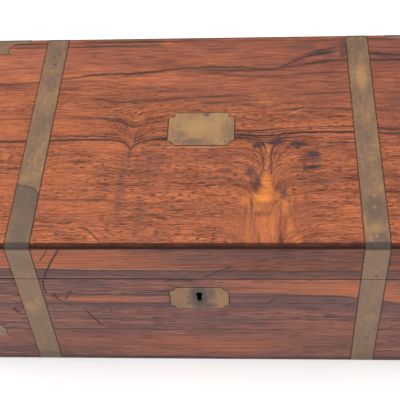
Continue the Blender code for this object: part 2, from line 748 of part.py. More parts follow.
def hinge_leaf(name, side, x, rides_on):
    heights = sorted((side * RIM, side * (RIM + LEAF)))
    plate = box((-HINGE_LENGTH / 2, -LEAF_WIDTH, heights[0]), (HINGE_LENGTH / 2, 0, heights[1]))
    leaf = add(name, mesh_of(plate, name), OLD_BRASS, rides_on, True)
    leaf.location.x = x
    for place, (start, end, owner) in enumerate(knuckle_spans()):
        if owner != side:
            room = rod(KNUCKLE_RADIUS + RUNNING_GAP, start - RUNNING_GAP, end + RUNNING_GAP)
            change(leaf, slope_cutter(f"{name}_room_{place}", room, rides_on, x))
    for place, (start, end, owner) in enumerate(knuckle_spans()):
        if owner == side:
            barrel = rod(KNUCKLE_RADIUS, start, end)
            change(leaf, slope_cutter(f"{name}_barrel_{place}", barrel, rides_on, x), "UNION")
    bore = rod(HINGE_PIN_RADIUS + RUNNING_GAP, -HINGE_LENGTH, HINGE_LENGTH)
    change(leaf, slope_cutter(f"{name}_bore", bore, rides_on, x))


def hinge_room(name, side, x, board, rides_on):
    """The shallow seat of a leaf in its rim, and the round relief for the knuckles."""
    heights = sorted((-side * OVERCUT, side * (RIM + LEAF + SEAT_GAP)))
    half = HINGE_LENGTH / 2 + SEAT_GAP
    seat = box((-half, -LEAF_WIDTH - SEAT_GAP, heights[0]), (half, OVERCUT, heights[1]))
    change(board, slope_cutter(f"{name}_seat", seat, rides_on, x))
    relief = rod(KNUCKLE_RADIUS + RUNNING_GAP, -half, half)
    change(board, slope_cutter(f"{name}_relief", relief, rides_on, x))


for hand, sign in SIDES.items():
    x = sign * HINGE_X
    hinge_leaf(f"hinge_base_leaf_{hand}", BASE_SIDE, x, BASE_SLOPE)
    hinge_leaf(f"hinge_lid_leaf_{hand}", LID_SIDE, x, LID)
    hinge_room(f"hinge_base_{hand}", BASE_SIDE, x, base_boards["back"], BASE)
    hinge_room(f"hinge_lid_{hand}", LID_SIDE, x, lid_boards["back"], LID)
    pin = rod(HINGE_PIN_RADIUS, -HINGE_LENGTH / 2, HINGE_LENGTH / 2)
    add(f"hinge_pin_{hand}", mesh_of(pin, "pin"), OLD_BRASS, BASE_SLOPE, True).location.x = x


# The writing flaps, their leathers and the ledges that carry them

TONGUE_END = HINGE_X - HINGE_LENGTH / 2 - TONGUE_TO_HINGE
SKIN_NEAR = LEATHER_DROP
SKIN_FAR = LEATHER_DROP + LEATHER
FLAP_NEAR = SKIN_FAR + GLUE_LINE
FLAP_FAR = FLAP_NEAR + FLAP
LEDGE_NEAR = FLAP_FAR + GLUE_LINE
LEDGE_FAR = LEDGE_NEAR + LEDGE_DEPTH
flap_x = (INNER_LEFT + LOOSE_FIT, INNER_RIGHT - LOOSE_FIT)
flap_y = {
    "upper": (BAY_BACK, INNER_BACK - LOOSE_FIT),
    "lower": (INNER_FRONT + LOOSE_FIT, INNER_BACK - LOOSE_FIT),
}
ledge_front = {"upper": DIVIDER_BACK + GLUE_LINE, "lower": INNER_FRONT + GLUE_LINE}


def leather_outline(y, grow):
    """A sheet over the whole flap, with a tongue carried over the rim as the flap's hinge."""
    front = on_slope(y[0]) - grow
    wall = on_slope(y[1] - SKIN_FAR * sin(SLOPE)) + grow
    half = flap_x[1] + grow
    tongue = TONGUE_END + grow
    end = -LEATHER_EDGE + grow
    return [
        (-half, front), (half, front), (half, wall), (tongue, wall),
        (tongue, end), (-tongue, end), (-tongue, wall), (-half, wall),
    ]


for flap, side, rides_on, slope_carrier, boards in (
    ("upper", BASE_SIDE, BASE, BASE_SLOPE, base_boards),
    ("lower", LID_SIDE, LID, LID, lid_boards),
):
    y = flap_y[flap]
    carved(f"{flap}_flap", within(flap_x, y) + seam_layer(side, FLAP_NEAR, FLAP_FAR), MAHOGANY, rides_on)
    heights = sorted((side * SKIN_NEAR, side * SKIN_FAR))
    skin_y = (y[0] + LOOSE_FIT, y[1])
    skin = mesh_of(flat_piece([leather_outline(skin_y, 0.0)], *heights), "leather")
    add(f"{flap}_leather", skin, LEATHER_SKIN, slope_carrier, True)
    room_heights = sorted((-side * OVERCUT, side * (SKIN_FAR + SEAT_GAP)))
    tongue = TONGUE_END + SEAT_GAP
    room = box(
        (-tongue, on_slope(INNER_BACK) - OVERCUT, room_heights[0]),
        (tongue, SEAT_GAP - LEATHER_EDGE, room_heights[1]),
    )
    change(boards["back"], slope_cutter(f"{flap}_tongue_room", room, rides_on))
    for hand, inner in (("left", INNER_LEFT), ("right", INNER_RIGHT)):
        inward = -SIDES[hand]
        ledge_x = sorted((inner + inward * GLUE_LINE, inner + inward * LEDGE_WIDTH))
        ledge_y = (ledge_front[flap], INNER_BACK - GLUE_LINE)
        planes = within(ledge_x, ledge_y) + seam_layer(side, LEDGE_NEAR, LEDGE_FAR)
        carved(f"{flap}_flap_ledge_{hand}", planes, MAHOGANY, rides_on)


# The pen and ink bay along the front of the base

bay_y = (INNER_FRONT + GLUE_LINE, BAY_BACK - GLUE_LINE)
above_bottom = BOTTOM_BOARD + GLUE_LINE
divider_planes = within(inner_x, (BAY_BACK, DIVIDER_BACK), (above_bottom, None))
carved("pen_bay_divider", divider_planes + seam_layer(BASE_SIDE, FLAP_FAR + GLUE_LINE), MAHOGANY, BASE)
floor_z = (INK_FLOOR_HEIGHT - THIN_BOARD, INK_FLOOR_HEIGHT)
carved("pen_bay_floor", within(inner_x, bay_y, floor_z), MAHOGANY, BASE)

tray_end = INNER_RIGHT - INK_BAY - THIN_BOARD
rim_at_bay_back = HINGE_Z + (HINGE_Y - BAY_BACK) * sin(SLOPE) / cos(SLOPE)
tray_top = rim_at_bay_back - TRAY_DROP
tray_foot = tray_top - TRAY_HEIGHT
for hand, sign in SIDES.items():
    divider_x = sorted((sign * tray_end, sign * (tray_end + THIN_BOARD)))
    divider = within(divider_x, bay_y, (INK_FLOOR_HEIGHT + GLUE_LINE, None))
    carved(f"ink_divider_{hand}", divider + seam_layer(BASE_SIDE, RIM + INK_DIVIDER_DROP), MAHOGANY, BASE)
    rest_x = sorted((sign * (tray_end - GLUE_LINE), sign * (tray_end - TRAY_REST)))
    rest_z = (INK_FLOOR_HEIGHT + GLUE_LINE, tray_foot - GLUE_LINE)
    carved(f"pen_tray_rest_{hand}", within(rest_x, bay_y, rest_z), MAHOGANY, BASE)

tray_low = Vector((LOOSE_FIT - tray_end, INNER_FRONT + LOOSE_FIT, tray_foot))
tray_high = Vector((tray_end - LOOSE_FIT, BAY_BACK - LOOSE_FIT, tray_top))
pen_tray = add("pen_tray", mesh_of(box(tray_low, tray_high), "pen_tray"), MAHOGANY, BASE)
rim = Vector((SCOOP_RIM, SCOOP_RIM, SCOOP_FLOOR))
scoop = box(tray_low + rim, tray_high - Vector((SCOOP_RIM, SCOOP_RIM, -2 * SCOOP_ROUND)))
bmesh.ops.bevel(
    scoop, geom=scoop.edges[:], offset=SCOOP_ROUND, segments=ARC_STEPS, profile=ROUND_PROFILE, affect="EDGES"
)
change(pen_tray, cutter("pen_scoop", mesh_of(scoop, "pen_scoop"), BASE))


# Glass inkwells with turned brass caps

INKWELL_FOOT = INK_FLOOR_HEIGHT + SEAT_GAP
INKWELL_Y = (INNER_FRONT + BAY_BACK) / 2
CAP_FOOT = INKWELL_BODY + SEAT_GAP
CAP_TOP = CAP_FOOT + CAP_HEIGHT


def inkwell_hollow():
    """The inside of a bottle: a round well, drawn in at the shoulder to the neck's bore."""
    bore = NECK_RADIUS - NECK_WALL
    well = INKWELL_WIDTH / 2 - INKWELL_WALL
    shoulder = INKWELL_BODY - INKWELL_SHOULDER
    mouth = INKWELL_BODY + NECK_HEIGHT + OVERCUT
    return [
        (0, mouth), (bore, mouth), (bore, INKWELL_BODY - INKWELL_THROAT), (well, shoulder),
        (well, INKWELL_WALL + INKWELL_EDGE), (well - INKWELL_EDGE, INKWELL_WALL), (0, INKWELL_WALL),
    ]


def cap_profile():
    """A low domed cap with a rolled edge, open below to fit over the neck."""
    inner = NECK_RADIUS + SEAT_GAP
    under = INKWELL_BODY + NECK_HEIGHT + SEAT_GAP
    edge = CAP_TOP - CAP_DOME - CAP_SHEET
    return [
        (0, CAP_TOP), (CAP_CROWN_RADIUS, CAP_TOP - CAP_CROWN_DROP),
        (CAP_RADIUS - CAP_SHEET, CAP_TOP - CAP_DOME), (CAP_RADIUS, edge),
        (CAP_RADIUS, CAP_FOOT + CAP_SHEET), (CAP_RADIUS - CAP_SHEET / 2, CAP_FOOT),
        (inner, CAP_FOOT), (inner, under), (0, under),
    ]


for hand, sign in SIDES.items():
    frame = Matrix.Translation((sign * (INNER_RIGHT - INK_BAY / 2), INKWELL_Y, INKWELL_FOOT))
    half = INKWELL_WIDTH / 2
    glass = box((-half, -half, 0), (half, half, INKWELL_BODY))
    raised = [edge for edge in glass.edges if max(v.co.z for v in edge.verts) > INKWELL_BODY / 2]
    bmesh.ops.bevel(
        glass, geom=raised, offset=INKWELL_EDGE, segments=ARRIS_STEPS, profile=ROUND_PROFILE, affect="EDGES"
    )
    bottle = add(f"inkwell_{hand}", mesh_of(placed(glass, frame), "inkwell"), GLASS, BASE)
    neck = rod(NECK_RADIUS, INKWELL_BODY / 2, INKWELL_BODY + NECK_HEIGHT, "Z", CAP_STEPS)
    change(bottle, cutter(f"inkwell_neck_{hand}", mesh_of(neck, "neck"), BASE, frame), "UNION")
    hollow = cutter(f"inkwell_hollow_{hand}", turned(inkwell_hollow()), BASE, frame)
    spin(hollow, CAP_STEPS)
    change(bottle, hollow)
    cap = add(f"inkwell_cap_{hand}", turned(cap_profile()), OLD_BRASS, BASE, True)
    cap.location = frame.translation
    spin(cap, CAP_STEPS)

bpy.context.view_layer.update()
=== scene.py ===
# %% [markdown]
# A lap desk, or writing slope, is a box that opens along a slanting seam into one long slope to write on.
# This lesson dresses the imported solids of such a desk: rosewood boards bound with old brass, plain
# mahogany and leather inside, two glass inkwells, and the small screws that hold the hinges and the lock.
# The solids are loaded as a fixed frame. They are never moved, so everything here is finish or small
# fittings.

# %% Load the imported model
import json
from math import asin, cos, pi, radians, sin

import bmesh
import bpy
from mathutils import Matrix, Vector


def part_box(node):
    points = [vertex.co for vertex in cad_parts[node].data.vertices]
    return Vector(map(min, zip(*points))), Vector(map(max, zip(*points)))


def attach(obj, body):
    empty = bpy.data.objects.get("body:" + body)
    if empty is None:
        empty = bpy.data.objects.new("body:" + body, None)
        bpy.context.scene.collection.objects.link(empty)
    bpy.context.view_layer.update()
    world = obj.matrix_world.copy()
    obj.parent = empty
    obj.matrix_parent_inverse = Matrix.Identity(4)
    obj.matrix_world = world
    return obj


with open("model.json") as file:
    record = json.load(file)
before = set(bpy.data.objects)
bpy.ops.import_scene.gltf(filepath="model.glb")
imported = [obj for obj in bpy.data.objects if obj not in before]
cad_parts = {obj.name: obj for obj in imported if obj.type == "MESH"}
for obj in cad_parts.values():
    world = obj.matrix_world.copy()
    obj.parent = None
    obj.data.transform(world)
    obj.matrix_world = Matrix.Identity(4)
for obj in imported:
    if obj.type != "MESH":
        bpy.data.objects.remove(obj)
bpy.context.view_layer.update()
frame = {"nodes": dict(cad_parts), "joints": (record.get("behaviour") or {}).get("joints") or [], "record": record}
nodes = frame["nodes"]
MM = 1000.0


def in_mm(corners):
    """Corners that are given in metres, in millimetres."""
    return [corner * MM for corner in corners]


# %% [markdown]
# The photograph was taken from above the front edge, with the camera turned a little to the left and
# tipped a little on its side. A camera could be placed by eye with a Track To constraint, but that can't
# hold the tilt, so its three axes are worked out from a yaw, a pitch and a roll and written into its
# matrix.

# %% The camera
EYE = Vector((0.0493, -0.5555, 0.7224))
YAW = radians(-5.63)
PITCH_DOWN = radians(49.33)
ROLL = radians(-4.47)
SENSOR = 36.0
FOCAL_PIXELS = 940.0
IMAGE_PIXELS = 400.0
NEAREST = 0.01

forward = Vector((sin(YAW) * cos(PITCH_DOWN), cos(YAW) * cos(PITCH_DOWN), -sin(PITCH_DOWN)))
level = Vector((cos(YAW), -sin(YAW), 0.0))
steep = level.cross(forward)
camera_right = cos(ROLL) * level + sin(ROLL) * steep
camera_up = cos(ROLL) * steep - sin(ROLL) * level

camera = bpy.data.objects.new("camera", bpy.data.cameras.new("camera"))
camera.data.sensor_width = SENSOR
camera.data.lens = SENSOR * FOCAL_PIXELS / IMAGE_PIXELS
camera.data.clip_start = NEAREST
camera.matrix_world = Matrix((camera_right, camera_up, -forward)).transposed().to_4x4()
camera.matrix_world.translation = EYE
bpy.context.scene.collection.objects.link(camera)
bpy.context.scene.camera = camera
print("lens in mm:", round(camera.data.lens, 1))

# %% [markdown]
# The desk stands on a white sheet in soft light. A white world alone would light every side alike and
# leave no shadow at its foot, so it shares the work with one very large lamp above the front. Together
# they are bright enough to burn the sheet out to white, except in the narrow strip of shade where the
# desk meets it.

# %% The floor and the light
FLOOR_REACH = 12.0
FLOOR_DROP = 0.0006
PAPER_WHITE = (0.96, 0.97, 0.97, 1.0)
PAPER_ROUGHNESS = 0.9
ROOM_WHITE = (1.0, 1.0, 1.0, 1.0)
ROOM_STRENGTH = 0.70
LAMP_SIZE = 2.6
LAMP_PLACE = Vector((-0.20, -0.40, 2.4))
LAMP_WATTS = 56.0

scene = bpy.context.scene
scene.view_settings.view_transform = "Standard"
world = bpy.data.worlds.new("white_room")
world.use_nodes = True
background = world.node_tree.nodes["Background"]
background.inputs["Color"].default_value = ROOM_WHITE
background.inputs["Strength"].default_value = ROOM_STRENGTH
scene.world = world

lamp = bpy.data.objects.new("large_lamp", bpy.data.lights.new("large_lamp", "AREA"))
lamp.data.size = LAMP_SIZE
lamp.data.energy = LAMP_WATTS
lamp.location = LAMP_PLACE
lamp.rotation_euler = (-LAMP_PLACE).to_track_quat("-Z", "Y").to_euler()
scene.collection.objects.link(lamp)

floor_shape = bmesh.new()
bmesh.ops.create_grid(floor_shape, x_segments=1, y_segments=1, size=FLOOR_REACH)
floor_mesh = bpy.data.meshes.new("floor")
floor_shape.to_mesh(floor_mesh)
floor_shape.free()
floor = bpy.data.objects.new("floor", floor_mesh)
floor.location.z = -FLOOR_DROP
scene.collection.objects.link(floor)

paper = bpy.data.materials.new("white_paper")
paper.use_nodes = True
paper_shader = paper.node_tree.nodes["Principled BSDF"]
paper_shader.inputs["Base Color"].default_value = PAPER_WHITE
paper_shader.inputs["Roughness"].default_value = PAPER_ROUGHNESS
paper_shader.inputs["Specular IOR Level"].default_value = 0.0
floor_mesh.materials.append(paper)
print("lamp", round(LAMP_PLACE.length, 2), "m away,", LAMP_WATTS, "W")

# %% [markdown]
# Wood figure is easiest to think of as a formula of where a point lies, along the grain and across it.
# Shader nodes can hold such formulas, but wiring Math nodes by hand hides what they say. So a small class
# stands for a number that varies over a surface, and ordinary arithmetic on it adds the nodes.

# %% Tones: numbers that vary over a surface
class Tone:
    """A number that varies over a surface. Arithmetic on it adds Math nodes to its material."""

    def __init__(self, tree, socket):
        self.tree = tree
        self.socket = socket

    def __add__(self, other):
        return reckon("ADD", self, other)

    def __sub__(self, other):
        return reckon("SUBTRACT", self, other)

    def __rsub__(self, other):
        return reckon("SUBTRACT", other, self)

    def __mul__(self, other):
        return reckon("MULTIPLY", self, other)

    def __truediv__(self, other):
        return reckon("DIVIDE", self, other)

    def __abs__(self):
        return reckon("ABSOLUTE", self)

    __radd__ = __add__
    __rmul__ = __mul__


def reckon(operation, *values):
    """One Math node. Each value is a Tone or a plain number."""
    tree = next(value.tree for value in values if isinstance(value, Tone))
    node = tree.nodes.new("ShaderNodeMath")
    node.operation = operation
    for socket, value in zip(node.inputs, values):
        if isinstance(value, Tone):
            tree.links.new(value.socket, socket)
        else:
            socket.default_value = value
    return Tone(tree, node.outputs["Value"])


def ease(tone, low, high):
    """0 below low and 1 above high, with a smooth step between; low above high turns it round."""
    node = tone.tree.nodes.new("ShaderNodeMapRange")
    node.interpolation_type = "SMOOTHSTEP"
    node.clamp = False
    node.inputs["From Min"].default_value = low
    node.inputs["From Max"].default_value = high
    tone.tree.links.new(tone.socket, node.inputs["Value"])
    return Tone(tone.tree, node.outputs["Result"])


def strongest(tones):
    """The largest of several tones at each point. Each is made and compared before the next is made."""
    largest = None
    for tone in tones:
        largest = tone if largest is None else reckon("MAXIMUM", largest, tone)
    return largest


print("tones ready")

# %% [markdown]
# Places on the desk come from Object coordinates, which for these solids are the desk's own metres, so a
# mark stays where it was put when the lid swings. They are turned into millimetres here, and every size
# in the finishes below is in millimetres too. A sheet lays a face out flat, along the grain and across
# it.

# %% Places and sheets
def places(tree):
    """The x, y and z of a point of the desk in millimetres, as Tones, and two sums of them."""
    where = tree.nodes.new("ShaderNodeTexCoord")
    scale = tree.nodes.new("ShaderNodeVectorMath")
    scale.operation = "SCALE"
    scale.inputs["Scale"].default_value = MM
    split = tree.nodes.new("ShaderNodeSeparateXYZ")
    tree.links.new(where.outputs["Object"], scale.inputs[0])
    tree.links.new(scale.outputs["Vector"], split.inputs["Vector"])
    place = {axis.lower(): Tone(tree, split.outputs[axis]) for axis in "XYZ"}
    place["xz"] = place["x"] + place["z"]
    place["yz"] = place["y"] + place["z"]
    return place


class Sheet:
    """A flat lay-out of a surface in millimetres: one Tone along the grain, and one across it."""

    def __init__(self, along, across):
        self.tree = along.tree
        self.along = along
        self.across = across
        pair = self.tree.nodes.new("ShaderNodeCombineXYZ")
        self.tree.links.new(along.socket, pair.inputs["X"])
        self.tree.links.new(across.socket, pair.inputs["Y"])
        self.pair = pair.outputs["Vector"]

    def stretched(self, scale, shift):
        """The sheet's places times a scale plus a shift, as one vector socket."""
        node = self.tree.nodes.new("ShaderNodeVectorMath")
        node.operation = "MULTIPLY_ADD"
        self.tree.links.new(self.pair, node.inputs[0])
        node.inputs[1].default_value = (*scale, 0.0)
        node.inputs[2].default_value = (*shift, 0.0)
        return node.outputs["Vector"]


print("sheets ready")

# %% [markdown]
# Two brushes cover most of what happens on a surface: a cloud of noise stretched along the grain, and a
# soft oval patch at a chosen place. Noise with a scale of its own for each direction gives fibres and
# bands, and a cloud with a steep step in it gives flecks. Each node that is added comes after the nodes
# that feed it, here and below, which keeps the memory small that a large material needs when it is
# rendered.

# %% Clouds, flecks and patches
NOISE_SLANT = 1.7
TONE_MIDDLE = 0.5
PATCH_CORE = 0.2


def cloud(sheet, size, detail, seed):
    """A soft random tone about its middle, in patches of about that length and breadth."""
    length, breadth = size
    place = sheet.stretched((1.0 / length, 1.0 / breadth), (seed, NOISE_SLANT * seed))
    noise = sheet.tree.nodes.new("ShaderNodeTexNoise")
    noise.noise_dimensions = "2D"
    noise.inputs["Scale"].default_value = 1.0
    noise.inputs["Detail"].default_value = detail
    sheet.tree.links.new(place, noise.inputs["Vector"])
    return Tone(sheet.tree, noise.outputs["Fac"])


def swing(tone):
    """A tone from 0 to 1 as a swing about 0."""
    return tone - TONE_MIDDLE


def flecks(sheet, size, step, seed, detail=2.0):
    """A cloud sharpened into flecks: 0 below the step's first value and 1 above its second."""
    return ease(cloud(sheet, size, detail, seed), *step)


def patch(sheet, along, across, reach_along, reach_across, depth):
    """A soft oval: its depth in the middle and 0 at its reach."""
    shift = (-along / reach_along, -across / reach_across)
    place = sheet.stretched((1.0 / reach_along, 1.0 / reach_across), shift)
    length = sheet.tree.nodes.new("ShaderNodeVectorMath")
    length.operation = "LENGTH"
    sheet.tree.links.new(place, length.inputs[0])
    return ease(Tone(sheet.tree, length.outputs["Value"]), 1.0, PATCH_CORE) * depth


def patches(sheet, ovals):
    """The strongest of several ovals at each point."""
    return strongest(patch(sheet, *oval) for oval in ovals)


print("brushes ready")

# %% [markdown]
# Rosewood is known by its dark lines. A line is drawn here as a streak: a few given points, each with its place
# along and across the grain, its half width and its depth of colour. One RGB Curves node carries all three along
# the streak, because its red, green and blue curves can hold course, width and depth. The same points can also
# shade a band on one side of the line, which is how heartwood meets paler wood.

# %% Streaks and bands
WIDEST = 50.0
LINE_REACH = 1.5
LINE_CORE = 0.4
HALO_REACH = 3.6
HALO_CORE = 0.8
BAND_EDGE = 0.06
BAND_CORE = 0.35
ABOVE = 1
BELOW = -1


def lay_curve(curve, points):
    """Sets one curve of an RGB Curves node to smooth points between 0 and 1."""
    curve.points[0].location = points[0]
    curve.points[1].location = points[-1]
    for point in points[1:-1]:
        curve.points.new(*point)


def follow(sheet, points):
    """How far a point lies above a drawn line, and the line's width and depth there."""
    tree = sheet.tree
    start = points[0][0]
    end = points[-1][0]
    low = min(point[1] for point in points)
    high = max(max(point[1] for point in points), low + 1.0)
    share = tree.nodes.new("ShaderNodeMapRange")
    share.clamp = False
    share.inputs["From Min"].default_value = start
    share.inputs["From Max"].default_value = end
    tree.links.new(sheet.along.socket, share.inputs["Value"])
    triple = tree.nodes.new("ShaderNodeCombineColor")
    for socket in triple.inputs:
        tree.links.new(share.outputs["Result"], socket)
    node = tree.nodes.new("ShaderNodeRGBCurve")
    node.mapping.extend = "HORIZONTAL"
    steps = [(point[0] - start) / (end - start) for point in points]
    courses = [(point[1] - low) / (high - low) for point in points]
    widths = [point[2] / WIDEST for point in points]
    depths = [point[3] for point in points]
    for curve, levels in zip(node.mapping.curves, (courses, widths, depths)):
        lay_curve(curve, list(zip(steps, levels)))
    node.mapping.update()
    tree.links.new(triple.outputs["Color"], node.inputs["Color"])
    split = tree.nodes.new("ShaderNodeSeparateColor")
    tree.links.new(node.outputs["Color"], split.inputs["Color"])
    course = reckon("MULTIPLY_ADD", Tone(tree, split.outputs["Red"]), high - low, low)
    width = Tone(tree, split.outputs["Green"]) * WIDEST
    return sheet.across - course, width, Tone(tree, split.outputs["Blue"])


def streaks(sheet, lines):
    """Several lines and the halos round them. A line's points are (along, across, half width, depth)."""
    core = None
    halo = None
    for points in lines:
        above, width, depth = follow(sheet, points)
        share = abs(above) / width
        line = ease(share, LINE_REACH, LINE_CORE) * depth
        core = line if core is None else reckon("MAXIMUM", core, line)
        glow = ease(share, HALO_REACH, HALO_CORE) * depth
        halo = glow if halo is None else reckon("MAXIMUM", halo, glow)
    return core, halo


def band(sheet, points, side):
    """Shade on one side of a line, ABOVE or BELOW it. Each point's width is the shade's."""
    above, width, depth = follow(sheet, points)
    share = above * side / width
    return ease(share, 0.0, BAND_EDGE) * ease(share, 1.0, BAND_CORE) * depth


print("streaks ready")

# %% [markdown]
# Colours are laid one over another with Mix nodes, and a Color Ramp turns the grain's tone into wood
# colours. Rosewood runs from purple-brown through red-brown to orange. The lid's top is orange, and the
# front is a cooler purple-brown, so it has a ramp of its own.

# %% Colours of rosewood
TOP_RAMP = [
    (0.00, (0.066, 0.019, 0.010)), (0.28, (0.168, 0.045, 0.018)), (0.52, (0.284, 0.075, 0.027)),
    (0.76, (0.380, 0.102, 0.034)), (1.00, (0.480, 0.138, 0.044)),
]
FRONT_RAMP = [
    (0.00, (0.052, 0.026, 0.027)), (0.30, (0.120, 0.048, 0.042)), (0.55, (0.190, 0.065, 0.049)),
    (0.80, (0.275, 0.086, 0.056)), (1.00, (0.390, 0.118, 0.062)),
]
LINE_BLACK = (0.020, 0.009, 0.008)
SEAM_AND_SHADE_BLACK = (0.008, 0.004, 0.003)
SEAM_BROWN = (0.016, 0.006, 0.004)
PORE_BROWN = (0.034, 0.011, 0.007)
PALE_PINK_AND_SHEEN = (0.362, 0.142, 0.098)
PURPLE = (0.085, 0.040, 0.038)
PLUM_GREY = (0.072, 0.042, 0.046)
ROSY = (0.185, 0.058, 0.037)
ROSE = (0.337, 0.106, 0.070)
BACK_PURPLE = (0.105, 0.036, 0.027)
OLIVE = (0.190, 0.098, 0.042)
CALM_BROWN = (0.310, 0.085, 0.031)
PINK = (0.250, 0.098, 0.072)
ORANGE = (0.440, 0.120, 0.044)
FLAME_ORANGE = (0.600, 0.184, 0.034)
FLAME_BRIGHT = (0.700, 0.240, 0.040)
LID_BROWN = (0.165, 0.041, 0.015)
LID_FLECK = (0.055, 0.018, 0.010)
LID_ORANGE = (0.440, 0.114, 0.031)
DARK_PLUM = (0.034, 0.017, 0.020)
RIPPLE_BROWN = (0.300, 0.078, 0.026)
SCUFF_PALE = (0.360, 0.230, 0.170)
PALE_HIGHLIGHT = (0.470, 0.220, 0.140)
ARRIS_BROWN = (0.022, 0.006, 0.003)
ARRIS_RED = (0.062, 0.011, 0.004)
SCRATCH_BROWN = (0.034, 0.008, 0.004)
# A Mix node has sockets for each kind of value. These are the ones that it uses for colours.
MIX_AMOUNT = 0
MIX_UNDER = 6
MIX_OVER = 7
MIX_RESULT = 2


def ramp(tone, stops):
    """A Color Ramp over a tone. Each stop is a place and a colour."""
    node = tone.tree.nodes.new("ShaderNodeValToRGB")
    for place, _ in stops[1:-1]:
        node.color_ramp.elements.new(place)
    for element, (place, colour) in zip(node.color_ramp.elements, stops):
        element.position = place
        element.color = (*colour, 1.0)
    tone.tree.links.new(tone.socket, node.inputs["Fac"])
    return node.outputs["Color"]


def laid_over(under, colour, amount):
    """A colour laid over another by an amount that varies."""
    node = amount.tree.nodes.new("ShaderNodeMix")
    node.data_type = "RGBA"
    node.clamp_factor = True
    amount.tree.links.new(amount.socket, node.inputs[MIX_AMOUNT])
    amount.tree.links.new(under, node.inputs[MIX_UNDER])
    node.inputs[MIX_OVER].default_value = (*colour, 1.0)
    return node.outputs[MIX_RESULT]


print("colour stops:", len(TOP_RAMP) + len(FRONT_RAMP))

# %% [markdown]
# Every finish on the desk is drawn the same way, so one class holds what they share: a fresh Principled
# shader, the places on the desk, the noise, and the colour so far. A colour is laid by an amount, and
# where the wood's own fibres should show through it, the amount is shared out by one of the finish's
# tones. What doesn't vary is set on the shader itself. Roughness always varies, so it is linked at the
# end.

# %% A finish while it is drawn
class Finish:
    """A material while it is drawn: its places, its colour so far, and how much duller it is in places."""

    def __init__(self, name, seed, specular, metallic=0.0):
        self.material = bpy.data.materials.new(name)
        self.material.use_nodes = True
        self.tree = self.material.node_tree
        self.shader = self.tree.nodes["Principled BSDF"]
        self.shader.inputs["Specular IOR Level"].default_value = specular
        self.shader.inputs["Metallic"].default_value = metallic
        self.seed = seed
        self.place = places(self.tree)
        self.colour = None
        self.dulled = 0.0

    def noise(self, sheet, kind):
        """One of the finish's clouds. A kind is a size, a detail and a step that sets its seed apart."""
        size, detail, step = kind
        return cloud(sheet, size, detail, self.seed + step)

    def lay(self, colour, amount, flat=1.0, **tones):
        """Lays a colour by an amount times a flat share plus shares of the finish's own tones."""
        share = flat
        for name, weight in tones.items():
            share = getattr(self, name) * weight + share
        if tones or flat != 1.0:
            amount = amount * share
        self.colour = laid_over(self.colour, colour, amount)

    def join(self, roughness, height=None, strength=0.0, depth=0.0):
        """Links the finish to its shader. A height makes a bump of that strength and depth."""
        self.tree.links.new(self.colour, self.shader.inputs["Base Color"])
        self.tree.links.new(roughness.socket, self.shader.inputs["Roughness"])
        if height is not None:
            bump = self.tree.nodes.new("ShaderNodeBump")
            bump.inputs["Strength"].default_value = strength
            bump.inputs["Distance"].default_value = depth / MM
            self.tree.links.new(height.socket, bump.inputs["Height"])
            self.tree.links.new(bump.outputs["Normal"], self.shader.inputs["Normal"])
        print(self.material.name, "nodes:", len(self.tree.nodes))
        return self.material


print("finishes ready")

# %% [markdown]
# Every board starts the same way. Bands, stripes, fibres and pores are clouds of noise, each stretched along the
# grain to its own length, and together they choose the colour. Pale pink flecks are laid over it, partly the
# wood's own hue and partly painted sheen of the wax. The board keeps its sheets and tones, so that later cells can
# draw on it: a flat sheet, one whose lines waver a little, one turned upright and one torn into rags. Last of all,
# fibres and pores also make the wax a little uneven.

# %% A board
WAX_SPECULAR = 0.22
# A kind of cloud is a size, a detail and a step that sets its seed apart
SHAKE = ((9.0, 9.0), 2.0, 19.0)
SHAKE_ACROSS = 1.8
TEAR = ((12.0, 6.0), 3.0, 29.0)
TEAR_ALONG = 16.0
TEAR_ACROSS = 9.0
WOBBLE = ((30.0, 6.0), 2.0, 3.0)
STRIPES = ((120.0, 4.2), 3.0, 7.0)
STRIPE_SHARE = 0.95
BANDS = ((260.0, 17.0), 2.0, 0.0)
BAND_SHARE = 0.75
MOTTLE = ((34.0, 22.0), 2.0, 17.0)
MOTTLE_SHARE = 0.35
PORE_STEP = (0.52, 0.64)
PORE_STRIPES = 0.6
PINK_SHEEN_STEP = (0.50, 0.72)
PINK_SHEEN_SHARE = 0.46
HALO_FIBRES = 0.75
LINE_LEAST = 0.7
LINE_FIBRES = 0.5
WAX_LEAST_ROUGH = 0.34
FIBRE_ROUGH = 0.14
PORE_ROUGH = 0.08
FIBRE_RISE = 0.4
GRAIN_BUMP = 0.25
GRAIN_DEPTH = 0.2
SHORT_GRAIN = {
    "fibres": ((22.0, 0.75), 1.0, 11.0), "pores": ((5.5, 0.7), 1.0, 13.0),
    "pink_and_sheen": ((12.0, 1.0), 1.0, 23.0), "pore_depth": 0.36, "wobble": 5.0, "contrast": 1.5,
}
LONG_GRAIN = {
    "fibres": ((70.0, 1.3), 1.0, 11.0), "pores": ((14.0, 1.0), 1.0, 13.0),
    "pink_and_sheen": ((45.0, 1.5), 1.0, 23.0), "pore_depth": 0.42, "wobble": 1.6, "contrast": 1.7,
}


